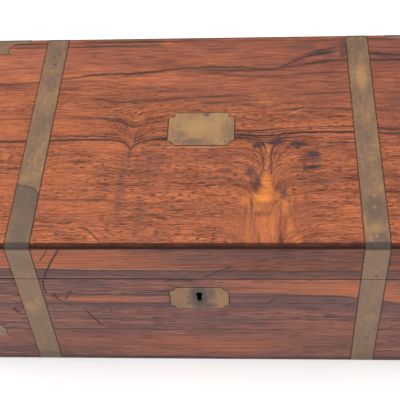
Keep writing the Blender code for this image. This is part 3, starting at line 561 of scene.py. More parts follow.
class Board(Finish):
    """A wooden board while its figure is drawn, with its sheets and its grain."""

    def __init__(self, name, along, across, seed, tone, stops, grain=SHORT_GRAIN, bend=None, coarse=None):
        super().__init__(name, seed, WAX_SPECULAR)
        flat = Sheet(self.place[along], self.place[across])
        shake = swing(self.noise(flat, SHAKE))
        self.flat = flat
        self.drawn = Sheet(flat.along + shake, flat.across + shake * SHAKE_ACROSS)
        self.upright = Sheet(flat.across + shake, flat.along + shake * SHAKE_ACROSS)
        tear = swing(self.noise(flat, TEAR))
        self.ragged = Sheet(flat.along + tear * TEAR_ALONG, flat.across + tear * TEAR_ACROSS)
        straight = (flat.along, flat.across) if bend is None else bend(flat.along, flat.across)
        wobble = swing(self.noise(flat, WOBBLE))
        sheet = Sheet(straight[0], straight[1] + wobble * grain["wobble"])
        self.stripes = self.noise(sheet, STRIPES)
        self.fibres = self.noise(sheet, grain["fibres"])
        self.pores = ease(self.noise(sheet, grain["pores"]), *PORE_STEP)
        if coarse:
            self.pores = self.pores * coarse(self.place)
        pink_and_sheen = ease(self.noise(sheet, grain["pink_and_sheen"]), *PINK_SHEEN_STEP)
        bands = swing(self.noise(sheet, BANDS))
        mottle = swing(self.noise(flat, MOTTLE))
        shade = bands * BAND_SHARE + swing(self.stripes) * STRIPE_SHARE
        shade = shade + swing(self.fibres) * grain["contrast"] + mottle * MOTTLE_SHARE
        self.colour = ramp(shade + tone, stops)
        # Pale pink flecks, partly the wood's own hue and partly painted sheen on the wax.
        self.lay(PALE_PINK_AND_SHEEN, pink_and_sheen, flat=PINK_SHEEN_SHARE)
        self.lay(PORE_BROWN, self.pores, flat=grain["pore_depth"], stripes=PORE_STRIPES)

    def lay_lines(self, lines, sheet=None):
        """Draws dark lines with purple halos, on the wavering sheet unless another is given."""
        core, halo = streaks(sheet or self.drawn, lines)
        self.lay(PURPLE, halo, flat=0.0, fibres=HALO_FIBRES)
        self.lay(LINE_BLACK, core, flat=LINE_LEAST, fibres=LINE_FIBRES)

    def done(self):
        """The finished material, with wax that is duller along fibres, in pores and where it is worn."""
        roughness = WAX_LEAST_ROUGH + self.fibres * FIBRE_ROUGH + self.pores * PORE_ROUGH + self.dulled
        height = self.fibres * FIBRE_RISE - self.pores
        return self.join(roughness, height, GRAIN_BUMP, GRAIN_DEPTH)


print("boards ready")

# %% [markdown]
# The lid's top is one board of orange-brown rosewood with dark lines across it. Two knots bend the grain
# towards the front edge: a small one left of the name plate and a large flame on the right. Rather than
# paint every fibre, the grain is laid out on a bent sheet, where a knot adds to the place across the
# grain, so that fibres drawn straight on the sheet run round it on the desk.

# %% The top board and its bent grain
FLAME_X = 54.0
FLAME_WIDTH = 6.2
FLAME_DEPTH = 6.0
FLAME_GROWTH = 30.0
FLAME_MOST = 55.0
FLAME_TURN = 6.0
KNOT_X = -57.0
KNOT_Y = 2.0
KNOT_WIDTH = 9.0
KNOT_HEIGHT = 26.0
KNOT_DEPTH = 11.0
KNOT_TIP = 3.0
PORES_FADE = (95.0, 5.0)
PORES_LEAST = 0.15


def round_knots(x, y):
    """The place along and across the straight grain that a point of the top came from."""
    from_flame = reckon("SQRT", (x - FLAME_X) * (x - FLAME_X) + KNOT_TIP)
    pull = reckon("EXPONENT", y * (-1.0 / FLAME_GROWTH) - from_flame / FLAME_WIDTH) * FLAME_DEPTH
    flame = pull / (pull * (1.0 / FLAME_MOST) + 1.0)
    from_knot = reckon("SQRT", (x - KNOT_X) * (x - KNOT_X) + KNOT_TIP)
    height = (y - KNOT_Y) * (1.0 / KNOT_HEIGHT)
    knot = reckon("EXPONENT", from_knot * (-1.0 / KNOT_WIDTH) - height * height) * KNOT_DEPTH
    side = swing(ease(x - FLAME_X, FLAME_TURN, -FLAME_TURN)) * 2.0
    return x + flame * side, y + flame + knot


def coarser_in_front(place):
    """The pores are open in the front half of the top and nearly closed at its back."""
    return ease(place["y"], *PORES_FADE) * (1.0 - PORES_LEAST) + PORES_LEAST


top = Board(
    "rosewood_top", "x", "y", seed=1.0, tone=0.60, stops=TOP_RAMP,
    bend=round_knots, coarse=coarser_in_front,
)
print("top board started")

# %% [markdown]
# Between the lines the board is mottled. The back right is rosy, dark purple patches lie round the flame,
# and the flame itself glows orange where the fibres stand on end. Each patch is a place, two reaches and
# a depth, and a depth over 1 keeps a patch strong almost to its rim.

# %% Patches of the top
TOP_ROSY = [
    (95, 75, 140, 66, 0.9), (-60, 103, 130, 32, 0.9), (10, -28, 60, 14, 0.4), (-155, 118, 60, 4, 0.7),
    (20, 108, 120, 24, 0.95), (12, 44, 60, 24, 0.75), (118, 104, 26, 22, 1.5), (168, 98, 46, 40, 1.5),
    (165, 28, 28, 66, 0.75), (112, -18, 22, 16, 0.5),
]
TOP_ROSE = [
    (-165, 92, 60, 36, 0.8), (-100, 92, 60, 30, 0.5), (-20, 60, 90, 16, 0.3), (20, 105, 70, 16, 0.4),
]
TOP_OLIVE = [
    (-62, 114.0, 34, 2.8, 0.8), (10, 79, 60, 4, 0.4), (98, -56, 22, 2.4, 0.5), (88, -47, 14, 2.0, 0.5),
]
FLAME_CALM = [(34, -98, 20, 34, 0.55), (80, -92, 16, 34, 0.42), (70, -50, 10, 22, 0.3)]
TOP_ORANGE = [
    (-95, -85, 44, 26, 0.4), (-168, 40, 20, 16, 0.3), (-100, 50, 30, 10, 0.2), (10, -97, 18, 5, 0.4),
    (-110, 10, 44, 30, 0.6), (-78, -17, 34, 16, 0.55), (-168, 0, 40, 36, 0.65), (-108, -52, 34, 16, 0.45),
    (120, -90, 14, 8, 0.5), (112, -106, 34, 12, 0.45), (-150, -60, 40, 30, 0.3), (-52, 14, 7, 7, 0.45),
    (-52, -22, 5, 9, 0.4), (100, 0.5, 30, 1.8, 0.9), (105, -5, 28, 1.8, 0.9), (-85, -14, 18, 5, 0.5),
    (52, -102, 20, 28, 0.7), (45, -3, 16, 1.4, 0.7), (42, -7, 14, 1.4, 0.6), (-36, 114, 10, 3, 0.8),
    (105, -10, 26, 1.8, 0.5),
]
TOP_FLAME = [
    (54.5, -56, 6.0, 13, 1.0), (54, -65, 8, 7, 0.8), (55.5, -26, 3.0, 15, 0.4), (52, -98, 5, 22, 0.3),
    (58.5, -104, 3, 22, 0.4), (40, -108, 5, 20, 0.25), (68.5, -84, 4.0, 14, 0.5),
    (72, -104, 4.4, 16, 0.5), (77, -116, 6, 8, 0.6),
]
FLAME_GLOW = [
    (51, -73.5, 15, 8, 1.0), (40, -77, 13, 7, 0.5), (61, -72, 10, 9, 0.5), (50, -83, 18, 8, 0.35),
]
FLAME_HEART = [(50, -74, 10, 6, 0.6), (55, -60, 4, 10, 0.4)]
TOP_PURPLE = [
    (108, 99, 12, 5.5, 0.6), (92, -31, 12, 10, 0.5), (98, -56, 11, 2.6, 0.4), (46, -58, 5, 12, 0.5),
    (41, -46, 7, 7, 0.5), (20, -45, 9, 4, 0.45), (-78, -35, 10, 2.4, 0.4), (-78, -42, 10, 2.4, 0.55),
    (-75, -65, 7, 3, 0.5), (-83, -76, 12, 2.8, 0.4), (-106, -109, 10, 5, 0.45),
    (-58.5, -28, 2.4, 15, 0.5), (-119, 37.5, 5, 2.6, 0.5), (-102, 98, 1.8, 5, 0.85),
    (-88, 39.5, 4, 1.6, 0.6), (68, -68, 4, 10, 0.5), (-62, -66, 6, 56, 0.45), (-40, -40, 18, 26, 0.4),
    (-44, -95, 8, 34, 0.4), (88, 106, 22, 10, 0.6), (125, 104, 5, 24, 0.8), (20, 77, 40, 4, 0.45),
    (-182, 101, 12, 3, 0.6), (51, -90, 10, 4, 0.4), (-85, 113, 42, 3, 0.35),
]
TOP_DARK = [
    (80, -16, 15, 5.0, 1.4), (88, -15.5, 8, 2.4, 0.8), (91, -28.5, 13, 10, 1.0),
    (91, -40.5, 13, 3.0, 1.4), (88, -47, 7, 1.8, 1.1), (96, -56, 11, 1.8, 0.9), (47.5, -57, 4.2, 11, 0.8),
    (41.5, -46, 6.5, 7, 0.8), (62, -14.5, 9, 4.6, 1.3), (48.5, -16.5, 5, 6, 1.2), (68.5, -70, 3, 9, 0.6),
    (20, -45, 8, 3.4, 0.6), (50, -90, 10, 3.4, 0.35), (105, 97.5, 11, 5, 1.3), (96, 94.5, 14, 4, 0.9),
    (82, 88, 10, 5, 0.8), (111, 86, 16, 3, 0.7), (124, 98, 4, 16, 0.6),
]
FLAME_STEM = [(54.5, -56, 6, 15, 1.0), (52, -72, 16, 7, 0.5)]
BACK_FADE = (5.0, 60.0)
BACK_SHARE = 0.65
PLUM_STEP = (0.32, 0.58)

top.lay(CALM_BROWN, patches(top.drawn, FLAME_CALM))
top.lay(ROSE, patches(top.ragged, TOP_ROSE), flat=0.45)
top.lay(ROSY, patches(top.ragged, TOP_ROSY), flat=0.25, stripes=0.6)
back_streaks = flecks(top.drawn, size=(30.0, 1.6), step=(0.46, 0.64), seed=65.0)
toward_back = ease(top.place["y"], *BACK_FADE) * BACK_SHARE
rosy_or_back = strongest([patches(top.ragged, TOP_ROSY), toward_back])
top.lay(BACK_PURPLE, rosy_or_back * back_streaks, flat=0.75)
pale_streaks = flecks(top.drawn, size=(36.0, 1.5), step=(0.54, 0.72), seed=69.0)
top.lay(ROSE, toward_back * pale_streaks, flat=0.6)
top.lay(OLIVE, patches(top.drawn, TOP_OLIVE))
top.lay(ORANGE, patches(top.drawn, TOP_ORANGE), flat=0.2, fibres=1.2)
top.lay(FLAME_ORANGE, patches(top.ragged, FLAME_GLOW), flat=0.55, fibres=0.4)
top.lay(FLAME_ORANGE, patches(top.drawn, TOP_FLAME), flat=0.45, fibres=0.7)
top.lay(FLAME_BRIGHT, patches(top.ragged, FLAME_HEART))
ripple = flecks(top.drawn, size=(26.0, 2.4), step=(0.48, 0.62), seed=61.0, detail=1.0)
top.lay(RIPPLE_BROWN, patches(top.drawn, FLAME_STEM) * ripple, flat=0.8)
top.lay(PURPLE, patches(top.drawn, TOP_PURPLE), flat=0.2, fibres=1.3)
top.lay(DARK_PLUM, patches(top.ragged, TOP_DARK) * ease(top.fibres, *PLUM_STEP))
print("dark patches on the top:", len(TOP_PURPLE) + len(TOP_DARK))

# %% [markdown]
# Now the dark lines of the top. The longest wanders right across the back and ends in a black knot. A
# pair runs through the small knot on the left, and a bundle passes the name plate on the right.

# %% Lines along the top
TOP_LINES = [
    [(-190, 60.3, 0.9, 0.0), (-183, 60.5, 1.0, 0.55), (-165, 60.8, 0.9, 0.6), (-148, 62.6, 0.8, 0.5),
     (-127, 66.5, 0.7, 0.55), (-112, 69.0, 0.9, 0.6), (-100, 71.6, 1.2, 0.75), (-80, 72.4, 1.2, 0.8),
     (-60, 73.0, 1.3, 0.8), (-45, 75.0, 1.2, 0.75), (-30, 77.8, 1.1, 0.7), (-10, 79.4, 1.4, 0.65),
     (10, 80.4, 1.0, 0.75), (30, 79.8, 0.9, 0.7), (45, 77.8, 1.0, 0.7), (57, 76.0, 1.4, 0.75),
     (63, 76.6, 1.3, 0.7), (70, 80.0, 1.5, 0.65), (77, 85.0, 1.5, 0.6), (85, 90.5, 1.5, 0.55),
     (95, 94.5, 1.4, 0.5), (103, 97.0, 1.5, 0.6), (110, 98.0, 1.4, 0.55), (117, 99.5, 1.0, 0.3),
     (124, 100, 1, 0)],
    [(60, 75.5, 1.0, 0.0), (70, 77.5, 1.4, 0.45), (82, 81.0, 1.6, 0.55), (95, 84.0, 1.8, 0.65),
     (105, 86.2, 2.0, 0.7), (118, 87.6, 1.6, 0.55), (150, 87.8, 1.8, 0.65), (175, 87.2, 1.6, 0.6),
     (203, 86, 1.2, 0.4)],
    [(128, 98.0, 1.6, 0.0), (149, 96.5, 2.3, 0.75), (160, 95.5, 2.1, 0.7), (175, 94.0, 1.8, 0.6),
     (203, 92, 1.2, 0.4)],
    [(38, 66.5, 1.0, 0.0), (48, 66.8, 1.1, 0.45), (60, 67.2, 1.2, 0.5), (80, 69.0, 1.0, 0.4),
     (100, 71.0, 1.0, 0.5), (122, 72.0, 0.9, 0.5), (150, 72.0, 0.9, 0.3), (175, 71.0, 0.8, 0.0)],
    [(-25, 74.0, 1.5, 0.0), (0, 72.4, 1.6, 0.3), (20, 70.3, 1.6, 0.35), (38, 67.5, 1.3, 0.3),
     (48, 66.0, 1.0, 0.0)],
    [(-12, 78.0, 0.8, 0.0), (0, 76.4, 1.0, 0.5), (18, 75.4, 1.3, 0.6), (34, 75.4, 1.3, 0.6),
     (50, 75.4, 1.1, 0.6), (60, 76.4, 0.9, 0.0)],
    [(86, 96.0, 0.8, 0.0), (96, 99.0, 1.2, 0.5), (104, 101.5, 1.4, 0.6), (114, 104.0, 1.2, 0.5),
     (125, 109.0, 0.9, 0.0)],
    [(-20, 41.0, 1.0, 0.0), (0, 42.0, 1.0, 0.5), (25, 43.0, 1.0, 0.5), (33, 43.3, 0.8, 0.0)],
    [(-5, 34.0, 1.2, 0.0), (3, 34.5, 1.3, 0.4), (28, 34.7, 1.2, 0.35), (34, 34.8, 0.8, 0.0)],
    [(75, 43.0, 1.0, 0.0), (88, 44.2, 1.1, 0.45), (105, 45.2, 1.1, 0.55), (122, 45.6, 1.0, 0.5),
     (150, 45.0, 1.0, 0.45), (175, 44.0, 1.0, 0.2)],
    [(68, 25.0, 0.8, 0.0), (76, 25.6, 1.0, 0.5), (90, 26.6, 1.1, 0.5), (105, 26.4, 1.0, 0.45),
     (127, 24.6, 1.1, 0.6), (150, 24.0, 1.0, 0.4), (175, 23.0, 1.0, 0.2)],
    [(-112, 41.5, 0.8, 0.0), (-103, 41.5, 0.9, 0.4), (-92, 40.5, 1.1, 0.5), (-84, 38.5, 1.2, 0.5),
     (-72, 36.5, 1.4, 0.45), (-55, 37.0, 1.5, 0.45), (-38, 38.6, 1.4, 0.5), (-20, 40.5, 1.3, 0.5),
     (-8, 41.5, 1.0, 0.0)],
    [(-203, 114.6, 0.8, 0.3), (-183, 115.3, 0.9, 0.9), (-150, 115.2, 0.9, 0.9), (-126, 115.6, 0.8, 0.6),
     (-108, 116.0, 0.9, 0.7), (-90, 116.4, 1.0, 0.85), (-60, 116.6, 1.0, 0.9), (-50, 116.5, 1.1, 0.95),
     (-35, 116.4, 0.8, 0.6), (-10, 116.3, 0.7, 0.4), (30, 116.0, 0.6, 0.3), (90, 115.5, 0.6, 0.3),
     (128, 115.6, 0.7, 0.4), (150, 116.0, 0.9, 0.8), (203, 116.0, 0.9, 0.8)],
    [(-130, 110.0, 0.9, 0.5), (-100, 110.4, 1.0, 0.8), (-75, 110.6, 0.9, 0.7), (-50, 110.8, 0.8, 0.6),
     (-40, 110.8, 0.5, 0)],
]
KNOT_LINES = [
    [(-203, 15.0, 1.0, 0.2), (-165, 16.3, 0.9, 0.3), (-127, 17.0, 0.9, 0.35), (-105, 17.3, 1.0, 0.45),
     (-90, 16.2, 1.0, 0.5), (-78, 14.0, 1.1, 0.6), (-69, 11.8, 1.1, 0.65), (-64, 9.0, 1.2, 0.7),
     (-60, 6.7, 1.2, 0.7), (-56, 5.7, 1.1, 0.6), (-52, 6.8, 1.0, 0.6), (-47, 9.5, 1.0, 0.6),
     (-40, 11.6, 1.0, 0.5), (-30, 13.0, 0.9, 0.35), (-24, 13.5, 0.8, 0.0)],
    [(-135, 20.0, 0.8, 0.0), (-120, 19.8, 0.8, 0.3), (-95, 18.8, 0.8, 0.4), (-80, 16.6, 0.8, 0.4),
     (-70, 14.2, 0.8, 0.4), (-63, 11.3, 0.8, 0.3), (-58, 9.0, 0.7, 0.0)],
    [(-203, -11.0, 1.3, 0.5), (-165, -10.6, 1.4, 0.75), (-150, -10.2, 1.4, 0.75), (-127, -9.8, 1.2, 0.8),
     (-110, -9.1, 1.2, 0.85), (-90, -8.9, 1.1, 0.8), (-76, -9.6, 1.1, 0.8), (-67, -11.3, 1.2, 0.8),
     (-62, -14.6, 1.4, 0.8), (-59.5, -18.0, 1.6, 0.75), (-57.5, -20.0, 1.4, 0.4), (-56, -20.0, 1.0, 0.0)],
    [(-203, -16, 0.8, 0.3), (-165, -17, 0.8, 0.5), (-150, -17, 0.8, 0.5), (-128, -17.5, 0.7, 0.2),
     (-118, -17.5, 0.7, 0)],
    [(-135, -4.3, 0.8, 0.0), (-126, -4.4, 0.9, 0.5), (-108, -4.6, 0.9, 0.6), (-90, -5.0, 0.9, 0.65),
     (-76, -6.2, 0.9, 0.6), (-68, -8.2, 0.9, 0.55), (-62, -11.5, 0.9, 0.5), (-58.5, -15.5, 0.9, 0.3),
     (-57, -17, 0.8, 0)],
    [(-58, -18.5, 0.9, 0.0), (-55.5, -17.0, 1.0, 0.55), (-52, -13.8, 1.0, 0.6), (-48, -11.2, 1.0, 0.6),
     (-42, -9.4, 1.2, 0.65), (-36, -8.6, 2.0, 0.7), (-29, -8.6, 3.0, 0.75), (-22, -8.6, 3.0, 0.0)],
    [(-57, -12.0, 0.8, 0.0), (-54.5, -10.5, 0.8, 0.5), (-50, -9.0, 0.9, 0.5), (-45, -7.0, 0.8, 0.4),
     (-38, -5.5, 0.8, 0.4), (-28, -4.5, 1.0, 0.4), (-22, -4.5, 1.0, 0.0)],
    [(-50, -16.8, 0.6, 0.0), (-42, -16.4, 0.7, 0.4), (-30, -16.3, 0.8, 0.5), (-22, -16.2, 0.8, 0.0)],
]
FLAME_LINES = [
    [(20, 0.3, 0.9, 0.0), (29, 0.4, 1.0, 0.65), (45, 0.2, 1.1, 0.7), (52, 0.6, 1.0, 0.7),
     (62, 1.6, 0.9, 0.6), (72, 3.0, 0.8, 0.5), (85, 4.0, 0.7, 0.4), (105, 4.6, 0.8, 0.35),
     (127, 4.6, 1.0, 0.45), (150, 1.5, 2.0, 0.5), (175, 0.5, 1.6, 0.4)],
    [(20, -4.6, 1.0, 0.0), (31, -4.7, 1.4, 0.75), (40, -5.0, 1.7, 0.8), (50, -6.0, 1.3, 0.75),
     (60, -5.6, 1.1, 0.65), (70, -3.6, 1.2, 0.7), (82, -2.4, 1.4, 0.8), (105, -2.0, 1.3, 0.75),
     (127, -2.4, 1.3, 0.8), (150, -3.8, 1.0, 0.75), (175, -4, 1.0, 0.6)],
    [(22, -9.0, 0.8, 0.0), (32, -9.2, 0.9, 0.5), (45, -10.4, 1.0, 0.55), (55, -10.6, 0.9, 0.5),
     (65, -9.2, 1.2, 0.6), (75, -7.6, 1.0, 0.5), (88, -6.5, 0.8, 0.3), (95, -6.0, 0.7, 0.0)],
    [(22, -2.6, 0.6, 0.0), (30, -2.7, 0.7, 0.5), (40, -2.5, 0.8, 0.5), (52, -2.2, 0.9, 0.55),
     (62, -1.4, 0.8, 0.5), (72, -0.2, 0.7, 0.45), (85, 0.8, 0.6, 0.35), (100, 1.8, 0.6, 0.3),
     (115, 2.2, 0.5, 0.0)],
    [(22, -6.9, 0.7, 0.0), (30, -7.0, 0.8, 0.55), (42, -7.5, 0.9, 0.6), (52, -8.2, 0.9, 0.6),
     (60, -7.6, 0.8, 0.5), (70, -5.8, 0.7, 0.45), (80, -4.6, 0.6, 0.0)],
    [(36, -12.6, 0.6, 0.0), (46, -13.2, 0.8, 0.5), (56, -13.6, 0.7, 0.5), (64, -12.6, 0.9, 0.55),
     (76, -11.8, 0.8, 0.45), (92, -12.8, 0.7, 0.4), (105, -13.9, 0.8, 0.45), (127, -14.2, 0.9, 0.6),
     (150, -15.0, 0.8, 0.3), (175, -15, 0.8, 0.0)],
    [(0, -36.5, 0.7, 0.0), (10, -36.0, 0.8, 0.2), (25, -35.8, 0.8, 0.3), (34, -37.0, 0.9, 0.35),
     (40, -40.0, 0.9, 0.35), (44, -44.0, 1.0, 0.4), (46.5, -49.0, 1.3, 0.45), (48, -55.0, 1.6, 0.35),
     (49, -57.0, 1.0, 0.0)],
    [(70, -116, 0.4, 0.0), (73, -114, 0.5, 0.35), (78, -110, 0.5, 0.3), (81, -107.5, 0.4, 0.0)],
    [(69, -111, 0.4, 0.0), (72, -109.5, 0.5, 0.3), (76, -106.5, 0.5, 0.25), (79, -104.5, 0.4, 0.0)],
    [(71, -120.5, 0.4, 0.0), (75, -118, 0.5, 0.35), (79, -115, 0.5, 0.3), (82, -113, 0.4, 0.0)],
]
FAINT_LINES = [
    [(-135, -73.5, 0.9, 0.0), (-122, -74.5, 1.0, 0.35), (-100, -75.6, 1.1, 0.45), (-85, -75.2, 1.4, 0.45),
     (-72, -76.3, 1.4, 0.4), (-60, -79.0, 1.3, 0.35), (-45, -79.5, 1.1, 0.3), (-20, -77.0, 1.0, 0.3),
     (0, -76, 0.8, 0.0)],
    [(-203, -41.0, 0.8, 0.2), (-165, -41.0, 0.9, 0.5), (-152, -41.3, 0.8, 0.5), (-145, -41.5, 0.7, 0.0)],
    [(-75, -36.0, 0.7, 0.0), (-65, -36.8, 0.8, 0.3), (-55, -39.3, 0.8, 0.35), (-45, -38.5, 0.8, 0.3),
     (-30, -35.5, 0.8, 0.3), (-10, -34.5, 0.7, 0.2), (5, -34.0, 0.6, 0.0)],
    [(-70, -41.6, 0.8, 0.0), (-64, -42.6, 0.9, 0.35), (-55, -45, 0.9, 0.4), (-48, -46, 0.9, 0.35),
     (-40, -44.5, 0.9, 0.35), (-30, -43, 0.8, 0.3), (-20, -42.5, 0.7, 0.0)],
    [(-92, -103, 0.6, 0.0), (-87, -104.5, 0.8, 0.6), (-81, -109, 0.8, 0.6), (-76, -115, 0.8, 0.6),
     (-73, -119, 0.6, 0.0)],
]


def thinned(lines, share, deeper):
    """The same lines with their widths made smaller and their colour deeper."""
    return [
        [(along, across, width * share, min(depth * deeper, 1.0)) for along, across, width, depth in line]
        for line in lines
    ]


knot_lines = thinned(KNOT_LINES, share=0.75, deeper=1.15)
flame_lines = thinned(FLAME_LINES, share=0.75, deeper=1.4)
top_lines = TOP_LINES + knot_lines + flame_lines + FAINT_LINES
top.lay_lines(top_lines)
print("lines along the top:", len(top_lines))

# %% [markdown]
# Where the flame stands on end its lines run towards the front edge, across the rest of the grain. They
# are the same streaks on an upright sheet, with the two directions changed over. Two pale scuffs end the
# top.

# %% Lines of the flame
UPRIGHT_LINES = [
    [(-50, 51.0, 0.6, 0.0), (-44, 51.2, 0.7, 0.4), (-36, 51.8, 0.7, 0.45), (-29, 51.8, 0.7, 0.4),
     (-24, 50.5, 0.8, 0.5), (-18, 48.5, 1.0, 0.6), (-14, 47, 0.9, 0.4), (-11, 46, 0.7, 0.0)],
    [(-50, 58.6, 0.6, 0.0), (-44, 58.4, 0.8, 0.5), (-36, 58.2, 0.8, 0.6), (-28, 58, 0.8, 0.65),
     (-22, 59, 0.9, 0.65), (-17, 61.5, 1.1, 0.6), (-13, 64.5, 1.2, 0.5), (-10, 68, 0.8, 0.0)],
    [(-30, 54.2, 0.5, 0.0), (-26, 54.3, 0.6, 0.45), (-20, 53.6, 0.6, 0.5), (-15, 52.4, 0.6, 0.4),
     (-12, 51.5, 0.5, 0.0)],
    [(-34, 60.8, 0.5, 0.0), (-28, 61.2, 0.6, 0.4), (-22, 63.2, 0.7, 0.45), (-17, 67, 0.7, 0.4),
     (-14, 71, 0.6, 0.0)],
    [(-40, 62.5, 0.5, 0.0), (-34, 63.5, 0.6, 0.35), (-28, 66, 0.6, 0.4), (-23, 70, 0.6, 0.35),
     (-20, 74, 0.5, 0.0)],
    [(-44, 48, 0.5, 0.0), (-38, 48.3, 0.6, 0.35), (-31, 47, 0.6, 0.4), (-26, 44.5, 0.6, 0.35),
     (-22, 41, 0.5, 0.0)],
    [(-122, 36.5, 0.4, 0.0), (-110, 37, 0.5, 0.15), (-95, 37.5, 0.5, 0.25), (-84, 38.5, 0.6, 0.3),
     (-80, 39, 0.5, 0.0)],
    [(-108, 41.8, 0.5, 0.0), (-100, 42, 0.5, 0.25), (-90, 42.3, 0.6, 0.35), (-80, 42.5, 0.9, 0.65),
     (-75, 42.5, 0.9, 0.5), (-72, 42.5, 0.7, 0.0)],
    [(-112, 44.5, 0.4, 0.0), (-104, 44.7, 0.5, 0.25), (-92, 45, 0.5, 0.3), (-84, 45.5, 0.5, 0.0)],
    [(-122, 47.4, 0.5, 0.3), (-114, 47.6, 0.5, 0.25), (-100, 48, 0.5, 0.0)],
    [(-122, 58, 0.4, 0.2), (-112, 57.6, 0.4, 0.2), (-102, 57, 0.4, 0.0)],
    [(-122, 65.3, 1.8, 0.85), (-116, 65, 1.4, 0.65), (-108, 64.5, 0.9, 0.4), (-95, 64.5, 0.7, 0.25),
     (-84, 65, 0.6, 0.25), (-78, 65.5, 0.6, 0.0)],
    [(-21, -57.6, 0.6, 0.0), (-16, -56.2, 0.6, 0.55), (-9, -54.8, 0.6, 0.55), (-3, -54.2, 0.5, 0.0)],
    [(-19, -56.4, 0.6, 0.0), (-14, -53.4, 0.6, 0.5), (-9, -50.6, 0.6, 0.5), (-5, -48.5, 0.5, 0.0)],
]
TOP_SCUFFS = [
    [(72, 19, 0.5, 0.0), (76, 21, 0.7, 0.35), (82, 24, 0.8, 0.45), (88, 26, 0.7, 0.3),
     (91, 27, 0.5, 0.0)],
    [(-18, -18.6, 0.5, 0.0), (-8, -18.4, 0.7, 0.3), (8, -19.0, 0.9, 0.35), (18, -18.4, 0.7, 0.3),
     (25, -18, 0.5, 0.0)],
]
top.lay_lines(UPRIGHT_LINES, top.upright)
top.lay(SCUFF_PALE, streaks(top.drawn, TOP_SCUFFS)[0])
print("lines of the flame:", len(UPRIGHT_LINES))

# %% [markdown]
# The wood is darker along every arris, and dark wax gathers beside the brass, where a cloth doesn't reach. The
# rounded front arris is painted darker still, as shade: a dark reddish band with blotches, and a near-black line
# on the front just under the top, where the arris turns down. How near a point is to an arris follows from its
# place alone: on a face one of its three distances to the box is nothing, so the next smallest is the distance to
# the nearest arris.

# %% Painted shade on the front arris, and darker wood along the arrises and beside the brass
lid_corner = in_mm(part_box("lid_top"))[1]
HALF_LENGTH = lid_corner.x
HALF_BREADTH = lid_corner.y
TOP_HEIGHT = lid_corner.z
strap_low, strap_high = in_mm(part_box("lid_strap_right"))
STRAP_MIDDLE = (strap_low.x + strap_high.x) / 2.0
STRAP_HALF = (strap_high.x - strap_low.x) / 2.0
FRONT_ARRIS = (4.2, 2.8)
ARRIS_RAGGED = 0.8
ARRIS_FOOT_START = (0.5, 1.2)
ARRIS_FOOT_END = (3.8, 2.6)
ARRIS_DULL = 0.35
OTHER_ARRIS = (3.0, 0.8)
STRAP_GRIME = (1.6, 0.2)
STRAP_GRIME_DEPTH = 0.6
PLATE_GRIME = (1.3, 0.4)
PLATE_GRIME_DEPTH = 0.75
PLATE_NOTCH = 5.6
NOTCH_EDGE = 0.5


def past_span(tone, low, high):
    """How far a point lies past a span, which is less than 0 inside it."""
    return abs(tone - (low + high) / 2.0) - (high - low) / 2.0


def round_plate(board, node, across):
    """Dark wax round a plate that is let into a board, but not in the notches of the plate's corners."""
    low, high = in_mm(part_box(node))
    past_ends = past_span(board.place["x"], low.x, high.x)
    past_sides = past_span(board.place[across], getattr(low, across), getattr(high, across))
    nearer = reckon("MINIMUM", past_ends, past_sides)
    in_notch = ease(nearer, -PLATE_NOTCH - NOTCH_EDGE, -PLATE_NOTCH + NOTCH_EDGE)
    near_rim = ease(reckon("MAXIMUM", past_ends, past_sides), *PLATE_GRIME)
    board.lay(ARRIS_BROWN, near_rim * (1.0 - in_notch), flat=PLATE_GRIME_DEPTH)


def add_arris_shade_and_wax(board, strength):
    """Darker wood along the arrises and dark wax beside the straps, with painted shade on the front arris."""
    place = board.place
    from_end = HALF_LENGTH - abs(place["x"])
    from_side = HALF_BREADTH - abs(place["y"])
    drop = TOP_HEIGHT - place["z"]
    from_top = reckon("MINIMUM", drop, place["z"])
    nearer = reckon("MINIMUM", from_end, from_side)
    farther = reckon("MAXIMUM", from_end, from_side)
    arris = ease(reckon("MAXIMUM", nearer, reckon("MINIMUM", farther, from_top)), *OTHER_ARRIS) * strength
    from_front = reckon("MAXIMUM", place["y"] + HALF_BREADTH, drop)
    front_arris_shade = ease(from_front + board.fibres * ARRIS_RAGGED, *FRONT_ARRIS)
    foot = ease(drop, *ARRIS_FOOT_START) * ease(from_front, *ARRIS_FOOT_END)
    from_strap = abs(abs(abs(place["x"]) - STRAP_MIDDLE) - STRAP_HALF)
    beside = ease(from_strap, *STRAP_GRIME) * STRAP_GRIME_DEPTH
    board.lay(ARRIS_BROWN, strongest([arris, beside]))
    # Painted shade along the rounded front arris: a dark reddish band with blotches, and a near-black line on the
    # front where the arris turns down.
    board.lay(ARRIS_RED, front_arris_shade, flat=0.65, fibres=0.5)
    blotches = flecks(board.flat, size=(18.0, 5.0), step=(0.42, 0.60), seed=97.0, detail=3.0)
    board.lay(ARRIS_BROWN, front_arris_shade * blotches, flat=0.55)
    board.lay(ARRIS_BROWN, foot, flat=0.95)
    board.dulled = front_arris_shade * ARRIS_DULL


round_plate(top, "name_plate", "y")
add_arris_shade_and_wax(top, strength=0.5)
top_wood = top.done()

# %% [markdown]
# The front is one board sawn through at the seam, so lid and base share one finish and its lines run on.
# It is purple-brown, with an orange zone on the lid's left and another on the base's right, each ending
# at a dark line. Bands shade those zones from the line outwards, above it and below.

